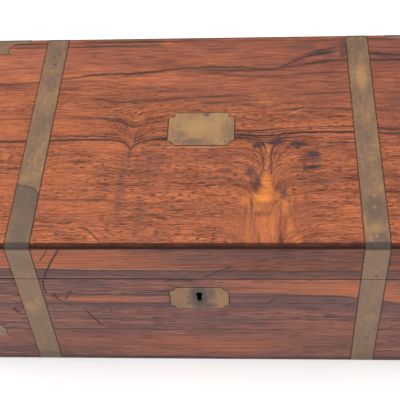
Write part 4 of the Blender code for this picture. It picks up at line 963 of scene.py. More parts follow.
# %% The front board and its zones
front = Board("rosewood_front", "x", "z", seed=5.0, tone=0.47, stops=FRONT_RAMP, grain=LONG_GRAIN)
SEAM_HEIGHT = in_mm(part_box("base_front"))[1].z
SEAM_EDGE = 0.5
LID_RIGHT = (-20.0, 50.0)
LID_RIGHT_GAIN = 0.8
LID_RIGHT_LEAST = 0.25
LID_LINE = [
    (-203, 134, 0.7, 0.6), (-150, 133.4, 0.8, 0.75), (-127, 132.8, 0.8, 0.8), (-100, 131.6, 0.7, 0.75),
    (-60, 131, 0.7, 0.75), (0, 131, 0.6, 0.6), (60, 130.3, 0.8, 0.6), (75, 129.8, 0.9, 0.6),
    (92, 131.5, 1.2, 0.5), (110, 131, 0.8, 0.6), (127, 131, 0.8, 0.6), (150, 131.5, 0.8, 0.6),
    (203, 131, 0.7, 0.5),
]
BASE_LINE = [
    (10, 100, 0.6, 0.0), (24, 99.8, 0.6, 0.35), (60, 99.8, 0.8, 0.45), (80, 98.6, 1.0, 0.55),
    (100, 97, 1.0, 0.55), (127, 94.8, 1.0, 0.5), (147, 90.5, 1.0, 0.5), (162, 86, 1.0, 0.4),
    (203, 76, 1.0, 0.3),
]
LEFT_LINE = [
    (-203, 86, 0.8, 0.4), (-127, 85.6, 0.8, 0.55), (-60, 86.2, 0.8, 0.55), (-24, 86.6, 0.7, 0.5),
    (24, 86.8, 0.8, 0.5), (60, 86.6, 0.8, 0.5), (127, 86.2, 0.8, 0.4), (203, 84, 0.8, 0.3),
]
# The shades of a band are (along, width, depth)
LID_SHADES = [
    (-203, 38, 0.8), (-127, 38, 0.9), (-60, 38, 0.85), (-30, 34, 0.6), (0, 26, 0.3), (40, 20, 0.3),
    (70, 18, 0.4), (100, 16, 0.6), (127, 14, 0.5), (203, 16, 0.4),
]
BASE_SHADES = [
    (10, 20, 0.0), (24, 26, 0.3), (45, 28, 0.6), (80, 30, 0.9), (127, 34, 0.95), (162, 40, 0.95),
    (203, 44, 0.9),
]
UNDER_LID_SHADES = [
    (-203, 14, 0.7), (-60, 14, 0.75), (0, 13, 0.6), (75, 12, 0.65), (127, 12, 0.6), (203, 12, 0.6),
]
UNDER_BASE_SHADES = [(10, 20, 0.0), (30, 26, 0.6), (80, 28, 0.75), (127, 28, 0.7), (203, 28, 0.7)]
UNDER_LEFT_SHADES = [
    (-203, 11, 0.6), (-60, 10, 0.7), (0, 10, 0.7), (60, 12, 0.8), (127, 12, 0.6), (203, 12, 0.5),
]
FRONT_ROSY = [(-90, 30, 150, 40, 0.5), (60, 30, 150, 40, 0.5)]
FRONT_ORANGE = [
    (-82, 91.5, 66, 5.5, 0.9), (0, 22, 110, 22, 0.45), (110, 108, 40, 14, 0.45), (-90, 20, 60, 20, 0.15),
    (90, 54, 60, 12, 0.4),
]
FRONT_PLUM = [
    (-95, 113, 48, 10, 0.85), (5, 147, 46, 8, 0.5), (60, 150, 90, 4, 0.45), (60, 56, 180, 6, 0.35),
    (-120, 55, 90, 6, 0.5), (-118, 70, 30, 12, 0.5), (-40, 67, 110, 13, 0.4), (-150, 15, 60, 20, 0.5),
    (120, 20, 50, 16, 0.25), (65, 116, 10, 4, 0.4), (-100, 14, 24, 12, 0.5), (68, 12, 34, 9, 0.2),
    (60, 151, 80, 2.6, 0.6), (48, 146, 26, 2.2, 0.5), (85, 140, 60, 1.8, 0.5),
]


def shaded(line, shades):
    """A line's course with new widths and depths, for a band beside it."""
    courses = [point[0] for point in line]
    result = []
    for along, width, depth in shades:
        after = next(i for i in range(1, len(line)) if along <= courses[i])
        share = (along - courses[after - 1]) / (courses[after] - courses[after - 1])
        across = line[after - 1][1] + share * (line[after][1] - line[after - 1][1])
        result.append((along, across, width, depth))
    return result


lid_orange = band(front.drawn, shaded(LID_LINE, LID_SHADES), ABOVE)
base_orange = band(front.drawn, shaded(BASE_LINE, BASE_SHADES), ABOVE)
under_lid = band(front.drawn, shaded(LID_LINE, UNDER_LID_SHADES), BELOW)
under_base = band(front.drawn, shaded(BASE_LINE, UNDER_BASE_SHADES), BELOW)
under_left = band(front.drawn, shaded(LEFT_LINE, UNDER_LEFT_SHADES), BELOW)
in_base = ease(front.place["z"], SEAM_HEIGHT + SEAM_EDGE, SEAM_HEIGHT - SEAM_EDGE)
front.lay(ROSY, patches(front.drawn, FRONT_ROSY), flat=0.2, fibres=1.0)
front.lay(ORANGE, base_orange * in_base, flat=0.05, fibres=1.25)
front.lay(LID_ORANGE, lid_orange, flat=0.05, fibres=1.3)
to_right = ease(front.place["x"], *LID_RIGHT) * LID_RIGHT_GAIN + LID_RIGHT_LEAST
right_of_lid = to_right * (1.0 - in_base)
front.lay(LID_BROWN, right_of_lid, flat=0.1, fibres=0.8)
lid_flecks = flecks(front.flat, size=(20.0, 1.6), step=(0.50, 0.66), seed=77.0)
front.lay(LID_FLECK, right_of_lid * lid_flecks, flat=0.75)
pink_streaks = flecks(front.flat, size=(80.0, 2.2), step=(0.50, 0.68), seed=83.0)
front.lay(PINK, in_base * pink_streaks, flat=0.45)
front.lay(ORANGE, patches(front.drawn, FRONT_ORANGE), flat=0.0, stripes=1.4)
front.lay(PLUM_GREY, strongest([under_lid, under_base, under_left]), flat=0.3, fibres=0.9)
front.lay(PLUM_GREY, patches(front.drawn, FRONT_PLUM), flat=0.1, stripes=1.3)
print("front seam at", round(SEAM_HEIGHT, 1), "mm")

# %% [markdown]
# Over the zones come the front's own dark lines, thin pale lines painted as highlights, the dark seam, and the
# scratches of use. A scratch crosses the grain, so it is a streak on the upright sheet, thin and nearly black. The
# seam is drawn only on the outer skin of the board, and the wood behind the keyhole is painted black as shade, so
# that the hole looks deep.

# %% Lines and scratches of the front
FRONT_LINES = [
    LID_LINE, BASE_LINE, LEFT_LINE,
    [(-203, 99, 0.5, 0.3), (-150, 99, 0.5, 0.45), (-127, 99.6, 0.5, 0.55), (-90, 98.8, 0.6, 0.65),
     (-40, 98.3, 0.6, 0.65), (-24, 98.3, 0.5, 0.5), (-16, 98.3, 0.5, 0.0)],
    [(-203, 47.5, 0.6, 0.5), (-150, 48, 0.6, 0.6), (-127, 47.4, 0.6, 0.7), (-60, 48.1, 0.6, 0.65),
     (-20, 47.2, 0.6, 0.6), (20, 47, 0.6, 0.65), (60, 48, 0.6, 0.65), (100, 49, 0.6, 0.6),
     (127, 48.4, 0.6, 0.6), (203, 48, 0.6, 0.5)],
    [(-203, 3, 1.4, 0.7), (0, 3, 1.2, 0.65), (203, 3, 1.4, 0.7)],
    [(2, 121.5, 0.6, 0.0), (6, 123.5, 0.7, 0.8), (16, 130, 0.7, 0.8), (25, 135.5, 0.9, 0.9),
     (29, 138, 0.6, 0.0)],
    [(-13, 121, 0.6, 0.0), (-10, 123, 0.6, 0.6), (-4, 129.5, 0.6, 0.6), (2, 134, 0.5, 0.0)],
    [(142, 43, 0.5, 0.0), (150, 47, 0.6, 0.5), (160, 54, 0.6, 0.5), (166, 60, 0.4, 0.0)],
]
SEAM_LINE = [
    (-203, SEAM_HEIGHT, 1.2, 1.0), (-127, SEAM_HEIGHT, 1.1, 1.0), (-60, SEAM_HEIGHT, 0.8, 0.95),
    (203, SEAM_HEIGHT, 0.7, 0.9),
]
PALE_LINES = [
    [(-203, 135.6, 0.6, 0.5), (-127, 134.4, 0.7, 0.6), (-60, 132.7, 0.7, 0.55), (0, 132.7, 0.6, 0.4),
     (25, 132.4, 0.5, 0.0)],
    [(-203, 122.2, 0.5, 0.3), (-60, 122.2, 0.5, 0.4), (60, 122.2, 0.5, 0.3), (203, 122.2, 0.5, 0.3)],
]
SCRATCHES = [
    [(99, -123.5, 0.6, 0.0), (103, -124.5, 0.8, 0.9), (112, -125, 0.8, 1.0), (125, -121, 0.8, 1.0),
     (141, -114, 0.9, 1.0), (152, -108.5, 0.9, 1.0), (160, -104, 0.8, 0.7), (162, -103, 0.6, 0.0)],
    [(143, -122, 0.6, 0.0), (146, -120.6, 0.7, 0.8), (152, -117, 0.7, 0.8), (157, -114.5, 0.7, 0.6),
     (160, -113, 0.6, 0.0)],
    [(52, -84, 0.6, 0.0), (54, -85.2, 0.9, 0.95), (66, -91, 0.9, 1.0), (75, -95.2, 0.8, 0.9),
     (78, -97, 0.6, 0.0)],
    [(82, -106, 0.6, 0.0), (84, -108, 0.9, 0.9), (91, -115.5, 0.9, 1.0), (99, -118.6, 0.9, 0.9),
     (101, -119.5, 0.6, 0.0)],
    [(91, -110, 0.6, 0.0), (93, -109, 0.8, 0.8), (98, -107, 0.8, 0.8), (103, -104, 0.8, 0.7),
     (105, -103, 0.6, 0.0)],
    [(72, -74, 0.5, 0.0), (74, -74, 0.6, 0.6), (80, -74, 0.6, 0.5), (83, -74, 0.5, 0.0)],
    [(85, 55, 0.6, 0.0), (87, 56, 0.8, 0.8), (92, 59, 0.8, 0.8), (94, 60, 0.6, 0.0)],
    [(71, -153, 0.9, 0.0), (72.5, -153, 1.4, 0.9), (77, -155, 1.5, 1.0), (79.5, -155.5, 0.9, 0.0)],
]
FRONT_DOTS = [
    (60, 148.5, 1.6, 1.4, 0.8), (38, 137, 1.6, 1.4, 0.8), (48, 136.5, 2.0, 1.4, 0.9),
    (6.5, 124, 2.0, 1.4, 0.9), (-46, 156, 2.0, 1.4, 0.8), (-39, 152, 1.6, 1.4, 0.7),
    (-54, 146, 2.0, 1.2, 0.6), (49, 149.5, 1.4, 1.2, 0.6),
]
SKIN = (1.3, 0.3)
KEYHOLE_SHADE = (0.0, 96.0, 8.0, 14.0, 4.0)


def on_face(depth):
    """1 on a face of the box and 0 inside the wood, from how deep in the wood a point lies."""
    return ease(depth, *SKIN)


front.lay_lines(FRONT_LINES)
on_front_face = on_face(front.place["y"] + HALF_BREADTH)
# Painted highlights: thin pale lines above the lid's dark line and just above the seam.
front.lay(PALE_HIGHLIGHT, streaks(front.drawn, PALE_LINES)[0], flat=0.3, fibres=0.6)
front.lay(SEAM_BROWN, streaks(front.flat, [SEAM_LINE])[0] * on_front_face)
scratched = streaks(front.upright, SCRATCHES)[0]
front.lay(SCRATCH_BROWN, strongest([scratched, patches(front.drawn, FRONT_DOTS)]))
round_plate(front, "escutcheon", "z")
add_arris_shade_and_wax(front, strength=0.4)
# Painted shade: the wood inside the keyhole is black, so that the hole looks deep.
front.lay(SEAM_AND_SHADE_BLACK, patch(front.flat, *KEYHOLE_SHADE) * (1.0 - on_front_face))
front_wood = front.done()
print("lines of the front:", len(FRONT_LINES) + len(SCRATCHES) + len(FRONT_DOTS))

# %% [markdown]
# The back and the two ends aren't seen in the photograph. They are the same rosewood with the same care,
# but plainer: stripes and pores, with a few dark lines that follow the grain. The seam slants down the
# ends from the front to the hinge, and runs level along the back.

# %% The back and the ends
hinge_joint = next(joint for joint in frame["joints"] if joint["name"] == "lid_hinge")
HINGE_Y = hinge_joint["pos_m"][1] * MM
HINGE_Z = hinge_joint["pos_m"][2] * MM
HIDDEN_GRAIN = {**LONG_GRAIN, "contrast": 1.15, "pore_depth": 0.30}
BACK_LINES = [
    [(-203, 112, 0.8, 0.5), (-90, 108, 1.0, 0.6), (0, 111, 0.8, 0.5), (120, 104, 1.0, 0.6),
     (203, 106, 0.8, 0.5)],
    [(-203, 52, 0.7, 0.5), (-60, 56, 0.8, 0.6), (70, 50, 0.8, 0.6), (203, 54, 0.7, 0.5)],
    [(-203, 24, 0.7, 0.4), (-100, 26, 0.8, 0.5), (40, 22, 0.8, 0.45), (203, 27, 0.7, 0.4)],
    [(-203, 140, 0.7, 0.4), (-40, 143, 0.8, 0.5), (90, 138, 0.8, 0.5), (203, 141, 0.7, 0.4)],
]
BACK_SEAM = [(-203, HINGE_Z, 0.9, 0.9), (203, HINGE_Z, 0.9, 0.9)]
END_LINES = [
    [(-123, 118, 0.7, 0.5), (-40, 121, 0.8, 0.6), (50, 116, 0.8, 0.6), (123, 119, 0.7, 0.5)],
    [(-123, 62, 0.7, 0.5), (-20, 58, 0.8, 0.6), (60, 63, 0.8, 0.6), (123, 60, 0.7, 0.5)],
    [(-123, 30, 0.7, 0.4), (0, 33, 0.8, 0.5), (123, 29, 0.7, 0.4)],
]
END_SEAM = [(-HALF_BREADTH, SEAM_HEIGHT, 0.9, 0.9), (HINGE_Y, HINGE_Z, 0.9, 0.9)]


def hidden_board(name, along, seed, tone, lines, seam, depth):
    """A board that the photograph doesn't show. Depth says how deep in the wood a place lies."""
    board = Board(name, along, "z", seed, tone, FRONT_RAMP, HIDDEN_GRAIN)
    board.lay_lines(lines)
    board.lay(SEAM_AND_SHADE_BLACK, streaks(board.flat, [seam])[0] * on_face(depth(board.place)))
    add_arris_shade_and_wax(board, strength=0.5)
    return board.done()


back_wood = hidden_board(
    "rosewood_back", "x", seed=9.0, tone=0.47, lines=BACK_LINES, seam=BACK_SEAM,
    depth=lambda place: HALF_BREADTH - place["y"],
)
end_wood = hidden_board(
    "rosewood_ends", "y", seed=13.0, tone=0.48, lines=END_LINES, seam=END_SEAM,
    depth=lambda place: HALF_LENGTH - abs(place["x"]),
)

# %% [markdown]
# The brass is old and dull. A patina scatters light as paint does, so the shader is only partly metal. It
# is tan where it is handled and grey where it isn't. Dirt and old polish gather along every edge as a
# thin dark line, which the Bevel node finds by how much a rounded normal would differ from the real one.

# %% The brass finish
BRASS_TAN = (0.250, 0.140, 0.081)
BRASS_GREY = (0.180, 0.110, 0.073)
BRASS_GOLD = (0.410, 0.238, 0.096)
BRASS_RUBBED = (0.440, 0.225, 0.096)
BRASS_WARM = (0.225, 0.114, 0.050)
BRASS_SLATE = (0.118, 0.083, 0.062)
BRASS_SHADE_AND_GRIME = (0.070, 0.052, 0.042)
BRASS_DARK = (0.045, 0.027, 0.018)
BRASS_RAMP = [(0.28, BRASS_GREY), (0.52, BRASS_TAN), (0.95, BRASS_GOLD)]
BRASS_SPECULAR = 0.5
BRASS_METALLIC = 0.55
BRASS_TONE = 0.2
TARNISH = ((30.0, 12.0), 3.0, 0.0)
TARNISH_SHARE = 0.6
BRUSHED = ((26.0, 1.0), 2.0, 5.0)
BRUSHED_SHARE = 0.45
BRASS_MOTTLE = ((5.0, 4.0), 2.0, 7.0)
BRASS_MOTTLE_SHARE = 0.5
SPECKS = ((2.2, 1.4), 1.0, 9.0)
SPECK_STEP = (0.66, 0.78)
SPECK_SHARE = 0.4
EDGE_SAMPLES = 4
EDGE_MATCH = (0.995, 0.86)
EDGE_SHARE = 0.85
BRASS_LEAST_ROUGH = 0.36
TARNISH_ROUGH = 0.2


class Brass(Finish):
    """A brass finish while it is drawn. Its sheet runs along the brass and is measured from a start."""

    def __init__(self, name, along, across, seed, tone=0.0, edge=0.7, start=0.0):
        super().__init__(name, seed, BRASS_SPECULAR, BRASS_METALLIC)
        self.sheet = Sheet(self.place[along] - start, self.place[across])
        self.edge = edge
        self.tarnish = self.noise(self.sheet, TARNISH)
        self.brushed = self.noise(self.sheet, BRUSHED)
        mottle = self.noise(self.sheet, BRASS_MOTTLE)
        specks = ease(self.noise(self.sheet, SPECKS), *SPECK_STEP)
        shade = self.tarnish * TARNISH_SHARE + BRASS_TONE + swing(self.brushed) * BRUSHED_SHARE
        shade = shade + swing(mottle) * BRASS_MOTTLE_SHARE + tone
        self.colour = ramp(shade, BRASS_RAMP)
        self.lay(BRASS_DARK, specks, flat=SPECK_SHARE)

    def done(self):
        """The finished material, with dirt along the edges and a duller surface where it is tarnished."""
        rounded = self.tree.nodes.new("ShaderNodeBevel")
        rounded.samples = EDGE_SAMPLES
        rounded.inputs["Radius"].default_value = self.edge / MM
        real = self.tree.nodes.new("ShaderNodeNewGeometry")
        match = self.tree.nodes.new("ShaderNodeVectorMath")
        match.operation = "DOT_PRODUCT"
        self.tree.links.new(rounded.outputs["Normal"], match.inputs[0])
        self.tree.links.new(real.outputs["Normal"], match.inputs[1])
        at_edge = ease(Tone(self.tree, match.outputs["Value"]), *EDGE_MATCH)
        self.lay(BRASS_DARK, at_edge, flat=EDGE_SHARE)
        return self.join(BRASS_LEAST_ROUGH + self.tarnish * TARNISH_ROUGH + self.dulled)


print("brass finish ready")

# %% [markdown]
# A strap runs up the front, over the top and down the back. Its wear is drawn along its whole length, so its sheet
# adds height to depth: on the top only the depth changes, and on the front only the height does. Where it bends
# over the front arris it is painted dark, as shade, and it is also darker over the back arris and down the back.

# %% The straps
BACK_ARRIS = (HALF_BREADTH - 4.0, HALF_BREADTH - 1.0)
FRONT_FACE = (-HALF_BREADTH + 3.0, -HALF_BREADTH + 1.0)
STRAP_BEND = (5.0, 2.4)
BEND_DULL = 0.3
STRAP_UNEVEN = 5.0


def on_front(height):
    """Where a height on the front face lies along a strap."""
    return height - HALF_BREADTH - TOP_HEIGHT


STRAP_SLATE = [
    (0, -140, 40, 9, 0.3), (-108, -137, 26, 16, 0.8), (-84, 137, 22, 14, 0.8), (95, -137, 22, 12, 0.35),
    (-115, 141, 9, 9, 0.7), (on_front(60), -137, 8, 8, 0.4), (on_front(140), -137, 18, 14, 0.4),
    (on_front(6), 137, 8, 14, 0.5), (106, 137, 18, 14, 0.5), (0, 137, 24, 14, 0.25),
]
STRAP_GOLD = [
    (64, 138, 26, 7, 0.9), (-104, 138, 7, 8, 0.6), (on_front(80), -140, 9, 8, 0.5),
    (on_front(88), -134, 8, 4, 0.4), (on_front(66), 140, 9, 7, 0.35), (35, -136, 20, 6, 0.25),
    (-50, -138, 12, 9, 0.3),
]
STRAP_COPPER = (66, 138, 18, 6, 0.8)
STRAP_DENTS = [
    (86.5, -136, 1.8, 1.6, 1.0), (101, -133.5, 4, 1.0, 0.7), (97, -139, 3, 0.9, 0.5),
    (on_front(123.5), 139, 1.6, 2.4, 1.0), (on_front(35), 138, 1.0, 3.0, 0.8),
    (on_front(48), 144.5, 3, 1.0, 0.7), (on_front(142), 129, 1.0, 2.0, 0.5),
]
STRAP_SPOTS = [(-72, 138, 2.4, 2.4, 0.5), (-83.5, 137.5, 2.8, 2.8, 0.45), (-112.5, 137, 1.5, 1.5, 0.9)]
STRAP_SHADOW = [(-150, -55, 48, 0.9), (-137, -61, 48, 0.9), (-124, -69, 48, 0.9), (-118, -70, 48, 0.0)]
SHADOW_LINE = [(-150, -56, 1.0, 0.5), (-137, -62, 1.1, 0.6), (-124, -70, 1.2, 0.6), (-118, -71, 1.0, 0.0)]
STRAP_FOOT = [
    (-150, on_front(9.5), 14, 0.6), (-124, on_front(7.2), 14, 0.6), (-118, on_front(7.0), 14, 0.0),
]
FOOT_LINE = [
    (-150, on_front(9.5), 0.7, 0.5), (-124, on_front(7.2), 0.7, 0.5), (-118, on_front(7.0), 0.8, 0.0),
]

straps = Brass("brass_straps", "yz", "x", seed=21.0, start=TOP_HEIGHT)
uneven = swing(straps.tarnish) * STRAP_UNEVEN
across_strap = Sheet(straps.sheet.across + uneven, straps.sheet.along + uneven)
straps.lay(BRASS_GREY, ease(straps.place["y"], *FRONT_FACE), flat=0.55)
straps.lay(BRASS_SLATE, patches(straps.sheet, STRAP_SLATE), flat=0.4, tarnish=1.0)
straps.lay(BRASS_SLATE, band(across_strap, STRAP_SHADOW, BELOW), flat=0.5, brushed=0.8)
straps.lay(BRASS_SLATE, band(across_strap, STRAP_FOOT, BELOW))
straps.lay(BRASS_DARK, streaks(across_strap, [FOOT_LINE, SHADOW_LINE])[0])
straps.lay(BRASS_GOLD, patches(straps.sheet, STRAP_GOLD), flat=0.3, brushed=1.0)
straps.lay(BRASS_RUBBED, patch(straps.sheet, *STRAP_COPPER), flat=0.3, brushed=1.0)
straps.lay(BRASS_DARK, patches(straps.sheet, STRAP_DENTS))
straps.lay(BRASS_GOLD, patches(straps.sheet, STRAP_SPOTS))
# Painted shade where the strap bends over the front arris, which is also made rougher there. Down the back it is
# darker too.
from_bend = reckon("MAXIMUM", straps.place["y"] + HALF_BREADTH, TOP_HEIGHT - straps.place["z"])
bend = ease(from_bend, *STRAP_BEND)
straps.lay(BRASS_SHADE_AND_GRIME, bend, flat=0.65, brushed=0.6)
straps.lay(BRASS_SHADE_AND_GRIME, ease(straps.place["y"], *BACK_ARRIS), flat=0.7)
straps.dulled = bend * BEND_DULL
strap_brass = straps.done()

# %% [markdown]
# The name plate is the brightest brass, rubbed to gold in its middle and left grey at its rim. The escutcheon is
# grey round the keyhole, where keys have scraped it, and tan at its ends. Corner pieces and the fittings inside
# stay plain, but for a darker back arris and the painted shade behind the keyhole.

# %% The plates
NAME_RUBBED = [(4, 0, 24, 34, 0.45)]
NAME_GOLD = [(6, -4, 16, 20, 0.9), (18, 14, 12, 12, 0.5), (14, -16, 14, 14, 0.5)]
NAME_SLATE = [(-12, -8, 6, 16, 0.6), (20, 4, 4, 4, 0.9), (-4, -16, 8, 7, 0.4), (0, 22, 14, 7, 0.3)]
name_brass = Brass("brass_name_plate", "y", "x", seed=29.0, tone=0.14)
name_brass.lay(BRASS_RUBBED, patches(name_brass.sheet, NAME_RUBBED))
name_brass.lay(BRASS_GOLD, patches(name_brass.sheet, NAME_GOLD))
name_brass.lay(BRASS_SLATE, patches(name_brass.sheet, NAME_SLATE))
name_finish = name_brass.done()

LOCK_WARM = [(94, 18, 24, 14, 0.6), (94, -18, 24, 14, 0.6)]
LOCK_SOOT = [(96, 0, 28, 12, 1.3), (101, 9, 14, 6, 0.8), (84, 4, 7, 14, 0.9), (88, -9, 4, 2.4, 0.9)]
LOCK_GOLD = [(92, 18, 14, 8, 0.35), (98, -17, 10, 7, 0.2)]
LOCK_SCRAPED = (95, 2, 40, 30, 0.55)
lock_brass = Brass("brass_escutcheon", "z", "x", seed=37.0)
lock_brass.lay(BRASS_WARM, patches(lock_brass.sheet, LOCK_WARM))
lock_brass.lay(BRASS_SHADE_AND_GRIME, patches(lock_brass.sheet, LOCK_SOOT), flat=0.45, brushed=0.8)
lock_brass.lay(BRASS_GOLD, patches(lock_brass.sheet, LOCK_GOLD), flat=0.3, brushed=1.0)
scraped = flecks(lock_brass.sheet, size=(9.0, 0.5), step=(0.58, 0.72), seed=91.0)
lock_brass.lay(BRASS_DARK, scraped * patch(lock_brass.sheet, *LOCK_SCRAPED))
lock_finish = lock_brass.done()

corners = Brass("brass_corners", "xz", "y", seed=33.0, tone=-0.08)
corners.lay(BRASS_SHADE_AND_GRIME, ease(corners.place["y"], *BACK_ARRIS), flat=0.6)
corner_finish = corners.done()

LOCK_BACK = in_mm(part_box("lock_case"))[1].y
IN_LOCK = (LOCK_BACK - 0.3, LOCK_BACK - 0.8)
fittings = Brass("brass_fittings", "x", "yz", seed=45.0, tone=0.05, edge=0.4)
# Painted shade: the lock case is black behind the keyhole.
keyhole_shade = patch(Sheet(fittings.place["x"], fittings.place["z"]), *KEYHOLE_SHADE)
fittings.lay(SEAM_AND_SHADE_BLACK, keyhole_shade * ease(fittings.place["y"], *IN_LOCK))
fitting_finish = fittings.done()

# %% [markdown]
# Inside, the box is plain mahogany, straighter and browner than the rosewood. The same boards make it,
# one with its grain along the desk and one with its grain from front to back, for the dividers of the
# inkwells and the ledges.

# %% Mahogany
MAHOGANY_RAMP = [
    (0.00, (0.060, 0.022, 0.012)), (0.35, (0.130, 0.048, 0.022)), (0.65, (0.215, 0.080, 0.034)),
    (1.00, (0.330, 0.135, 0.056)),
]
mahogany_wood = Board("mahogany_along", "x", "yz", seed=41.0, tone=0.5, stops=MAHOGANY_RAMP).done()
mahogany_cross = Board("mahogany_across", "y", "xz", seed=43.0, tone=0.5, stops=MAHOGANY_RAMP).done()

# %% [markdown]
# The two flaps are covered with thin dark green leather, called skiver. Its grain is a Voronoi pattern,
# whose cells look like the pebbles of leather. Round its edge a bookbinder's wheel has pressed a plain
# double line of gold. How far a point lies inside the flap decides where the gold is, and a cloud rubs
# some of it away.

# %% Leather
LEATHER_RAMP = [
    (0.20, (0.008, 0.020, 0.012)), (0.50, (0.019, 0.044, 0.026)), (0.85, (0.046, 0.078, 0.044)),
]
LEATHER_SPECULAR = 0.3
LEATHER_LEAST_ROUGH = 0.38
WORN = ((70.0, 45.0), 5.0, 51.0)
WORN_SHARE = 0.7
WORN_ROUGH = 0.3
RUBBED = ((7.0, 5.0), 4.0, 57.0)
RUBBED_SHARE = 0.5
RUBBED_RISE = 0.3
PEBBLE = 1.1
PEBBLE_SHARE = 0.25
LEATHER_BUMP = 0.35
LEATHER_DEPTH = 0.3
GILT = (0.400, 0.250, 0.070)
GILT_LINES = [(8.0, 0.55), (10.5, 0.30)]
GILT_EDGE = 0.3
GILT_LEFT = (0.34, 0.52)
GILT_SHARE = 0.85
GILT_SMOOTH = 0.1


def writing_leather(flap):
    """The leather of one flap, with a double gold line inside the flap's edge."""
    leather = Finish(f"{flap}_leather", 0.0, LEATHER_SPECULAR)
    place = leather.place
    sheet = Sheet(place["x"], place["y"])
    low, high = in_mm(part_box(f"{flap}_flap"))
    past_ends = past_span(place["x"], low.x, high.x)
    past_sides = past_span(place["y"], low.y, high.y)
    past_edge = reckon("MAXIMUM", past_ends, past_sides)
    pebbled = sheet.stretched((1.0 / PEBBLE, 1.0 / PEBBLE), (0.0, 0.0))
    cells = leather.tree.nodes.new("ShaderNodeTexVoronoi")
    cells.voronoi_dimensions = "2D"
    cells.inputs["Scale"].default_value = 1.0
    leather.tree.links.new(pebbled, cells.inputs["Vector"])
    pebble = Tone(leather.tree, cells.outputs["Distance"])
    worn = leather.noise(sheet, WORN)
    rubbed = leather.noise(sheet, RUBBED)
    leather.colour = ramp(worn * WORN_SHARE + rubbed * RUBBED_SHARE - pebble * PEBBLE_SHARE, LEATHER_RAMP)
    gold = strongest(ease(abs(past_edge + inset), half + GILT_EDGE, half) for inset, half in GILT_LINES)
    leather.lay(GILT, gold * ease(rubbed, *GILT_LEFT), flat=GILT_SHARE)
    roughness = LEATHER_LEAST_ROUGH + worn * WORN_ROUGH - gold * GILT_SMOOTH
    return leather.join(roughness, rubbed * RUBBED_RISE - pebble, LEATHER_BUMP, LEATHER_DEPTH)


upper_leather = writing_leather("upper")
lower_leather = writing_leather("lower")

# %% [markdown]
# The ink bottles are clear glass pressed in a mould, which never comes out quite even. A slow cloud tints
# it and dulls it in places, and a gentle bump bends what is seen through it.

# %% Glass
GLASS_RAMP = [(0.30, (0.78, 0.88, 0.85)), (0.70, (0.90, 0.95, 0.93))]
GLASS_SPECULAR = 0.5
GLASS_CLOUD = ((9.0, 9.0), 2.0, 71.0)
GLASS_DULL = (0.3, 3.0)
GLASS_BUMP = 0.15
GLASS_DEPTH = 0.4
glass = Finish("moulded_glass", 0.0, GLASS_SPECULAR)
glass.shader.inputs["Transmission Weight"].default_value = 1.0
waviness = glass.noise(Sheet(glass.place["xz"], glass.place["yz"]), GLASS_CLOUD)
glass.colour = ramp(waviness, GLASS_RAMP)
glass_finish = glass.join(ease(waviness, *GLASS_DULL), waviness, GLASS_BUMP, GLASS_DEPTH)

# %% [markdown]
# Each solid gets the finish of its material slot. Some words in a solid's name then choose a nearer one:
# the board whose grain runs its way, the leather of its flap, or the brass that was drawn for it.

# %% Finishes on the solids
SLOT_FINISH = {
    "rosewood": end_wood, "mahogany": mahogany_wood, "old_brass": fitting_finish, "glass": glass_finish,
}
NAMED_FINISH = {
    "_front": front_wood, "_back": back_wood, "lid_top": top_wood, "ink_divider": mahogany_cross,
    "ledge": mahogany_cross, "upper_leather": upper_leather, "lower_leather": lower_leather,
    "strap": strap_brass, "name_plate": name_finish, "escutcheon": lock_finish, "bracket": corner_finish,
    "corner": corner_finish,
}

for subpart in frame["record"]["subparts"]:
    name = subpart["node"]
    finish = SLOT_FINISH.get(subpart["material_slot"])
    for word, nearer in NAMED_FINISH.items():
        if word in name:
            finish = nearer
    nodes[name].data.materials.clear()
    nodes[name].data.materials.append(finish)
print("dressed:", len(nodes))

# %% [markdown]
# Brass screws with slotted heads hold the hinge leaves and the two lock plates, and show when the lid is
# open. A cylinder with a cut through it would do, but a Boolean is slow for something so small. A slotted
# head is two half discs with a gap between them, so each half is built directly: its outline is swept up
# in three steps, the last a little smaller, which gives the head its worn rim. The faces they lie on
# slope with the seam, so each screw is placed by its distance along the seam from the hinge. Meshes are
# in metres, and so are the sizes of the screws.

# %% One slotted screw head
SCREW_STEPS = 12
SCREW_SLOT = 0.0005
SCREW_RISE = 0.0001
SCREW_SINK = 0.0003
SCREW_RIM = 0.0002
# Each ring of a head: how much smaller it is than the head, and its height
SCREW_RINGS = (
    (0.0, -SCREW_SINK), (0.0, SCREW_RISE - SCREW_RIM / 2.0), (SCREW_RIM, SCREW_RISE),
)

seam_slope = (SEAM_HEIGHT - HINGE_Z) / (HINGE_Y + HALF_BREADTH)
seam_forward = Vector((0.0, -1.0, seam_slope)).normalized()
seam_up = Vector((0.0, seam_slope, 1.0)).normalized()


def half_outline(radius, half_slot, turn):
    """Half a disc on one side of a slot, as distances along the desk and along the seam."""
    start = asin(half_slot / radius)
    outline = []
    for step in range(SCREW_STEPS + 1):
        angle = start + (pi - 2.0 * start) * step / SCREW_STEPS + turn
        outline.append((radius * cos(angle), radius * sin(angle)))
    return outline


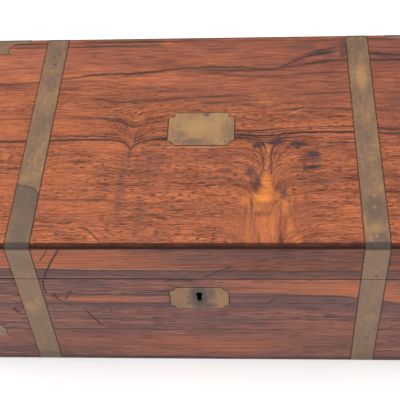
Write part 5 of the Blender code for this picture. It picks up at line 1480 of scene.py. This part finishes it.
def add_screw(shape, middle, radius, out, turn):
    """Adds one head to a mesh. Out points away from the brass, and turn is how far its slot is turned."""
    for half in (turn, turn + pi):
        rings = []
        for smaller, height in SCREW_RINGS:
            ring = []
            for u, v in half_outline(radius - smaller, (SCREW_SLOT + smaller) / 2.0, half):
                place = middle + Vector((u, 0.0, 0.0)) + v * seam_forward + height * out
                ring.append(shape.verts.new(place))
            rings.append(ring)
        shape.faces.new(rings[0])
        shape.faces.new(rings[-1])
        for lower, upper in zip(rings, rings[1:]):
            for corner in range(len(lower)):
                after = (corner + 1) % len(lower)
                shape.faces.new((lower[corner], lower[after], upper[after], upper[corner]))


print("seam slope:", round(seam_slope, 4))

# %% [markdown]
# Each leaf has three screws and each lock plate two. Screws that ride together on one fitting are one
# piece, as they would be bagged on a bench. No two slots of a piece point the same way, because no joiner
# lines up hidden ones.

# %% The screws
SEAM_HALF_GAP = 0.0002
HINGE_SCREW = 0.0020
LOCK_SCREW = 0.0019
LEAF_SCREWS = (-0.016, 0.0, 0.016)
LEAF_MIDDLE = 0.0057
LOCK_SCREWS = (-0.026, 0.026)
SLOT_TURN = 1.1

hinge_line = Vector((0.0, HINGE_Y, HINGE_Z)) / MM
lock_low, lock_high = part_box("lock_plate")
lock_reach = ((lock_low + lock_high) / 2.0 - hinge_line).dot(seam_forward)


def screw_set(name, body, places_along, reach, radius, out):
    """Screws that ride on one body, at places along the desk and a reach forward from the hinge."""
    shape = bmesh.new()
    face = hinge_line + reach * seam_forward - SEAM_HALF_GAP * out
    for count, along in enumerate(places_along):
        middle = Vector((along, face.y, face.z))
        add_screw(shape, middle, radius, out, SLOT_TURN * (count + len(name)))
    bmesh.ops.recalc_face_normals(shape, faces=shape.faces)
    mesh = bpy.data.meshes.new(name)
    shape.to_mesh(mesh)
    shape.free()
    mesh.materials.append(fitting_finish)
    piece = bpy.data.objects.new(name, mesh)
    scene.collection.objects.link(piece)
    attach(piece, body)
    print(name, "screws:", len(places_along))


for body, out in (("base", seam_up), ("lid", -seam_up)):
    for side in ("left", "right"):
        leaf_low, leaf_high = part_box(f"hinge_{body}_leaf_{side}")
        leaf_x = (leaf_low.x + leaf_high.x) / 2.0
        along = [leaf_x + step for step in LEAF_SCREWS]
        screw_set(f"hinge_{body}_screws_{side}", body, along, LEAF_MIDDLE, HINGE_SCREW, out)
screw_set("lock_plate_screws", "base", LOCK_SCREWS, lock_reach, LOCK_SCREW, seam_up)
screw_set("link_plate_screws", "lid", LOCK_SCREWS, lock_reach, LOCK_SCREW, -seam_up)
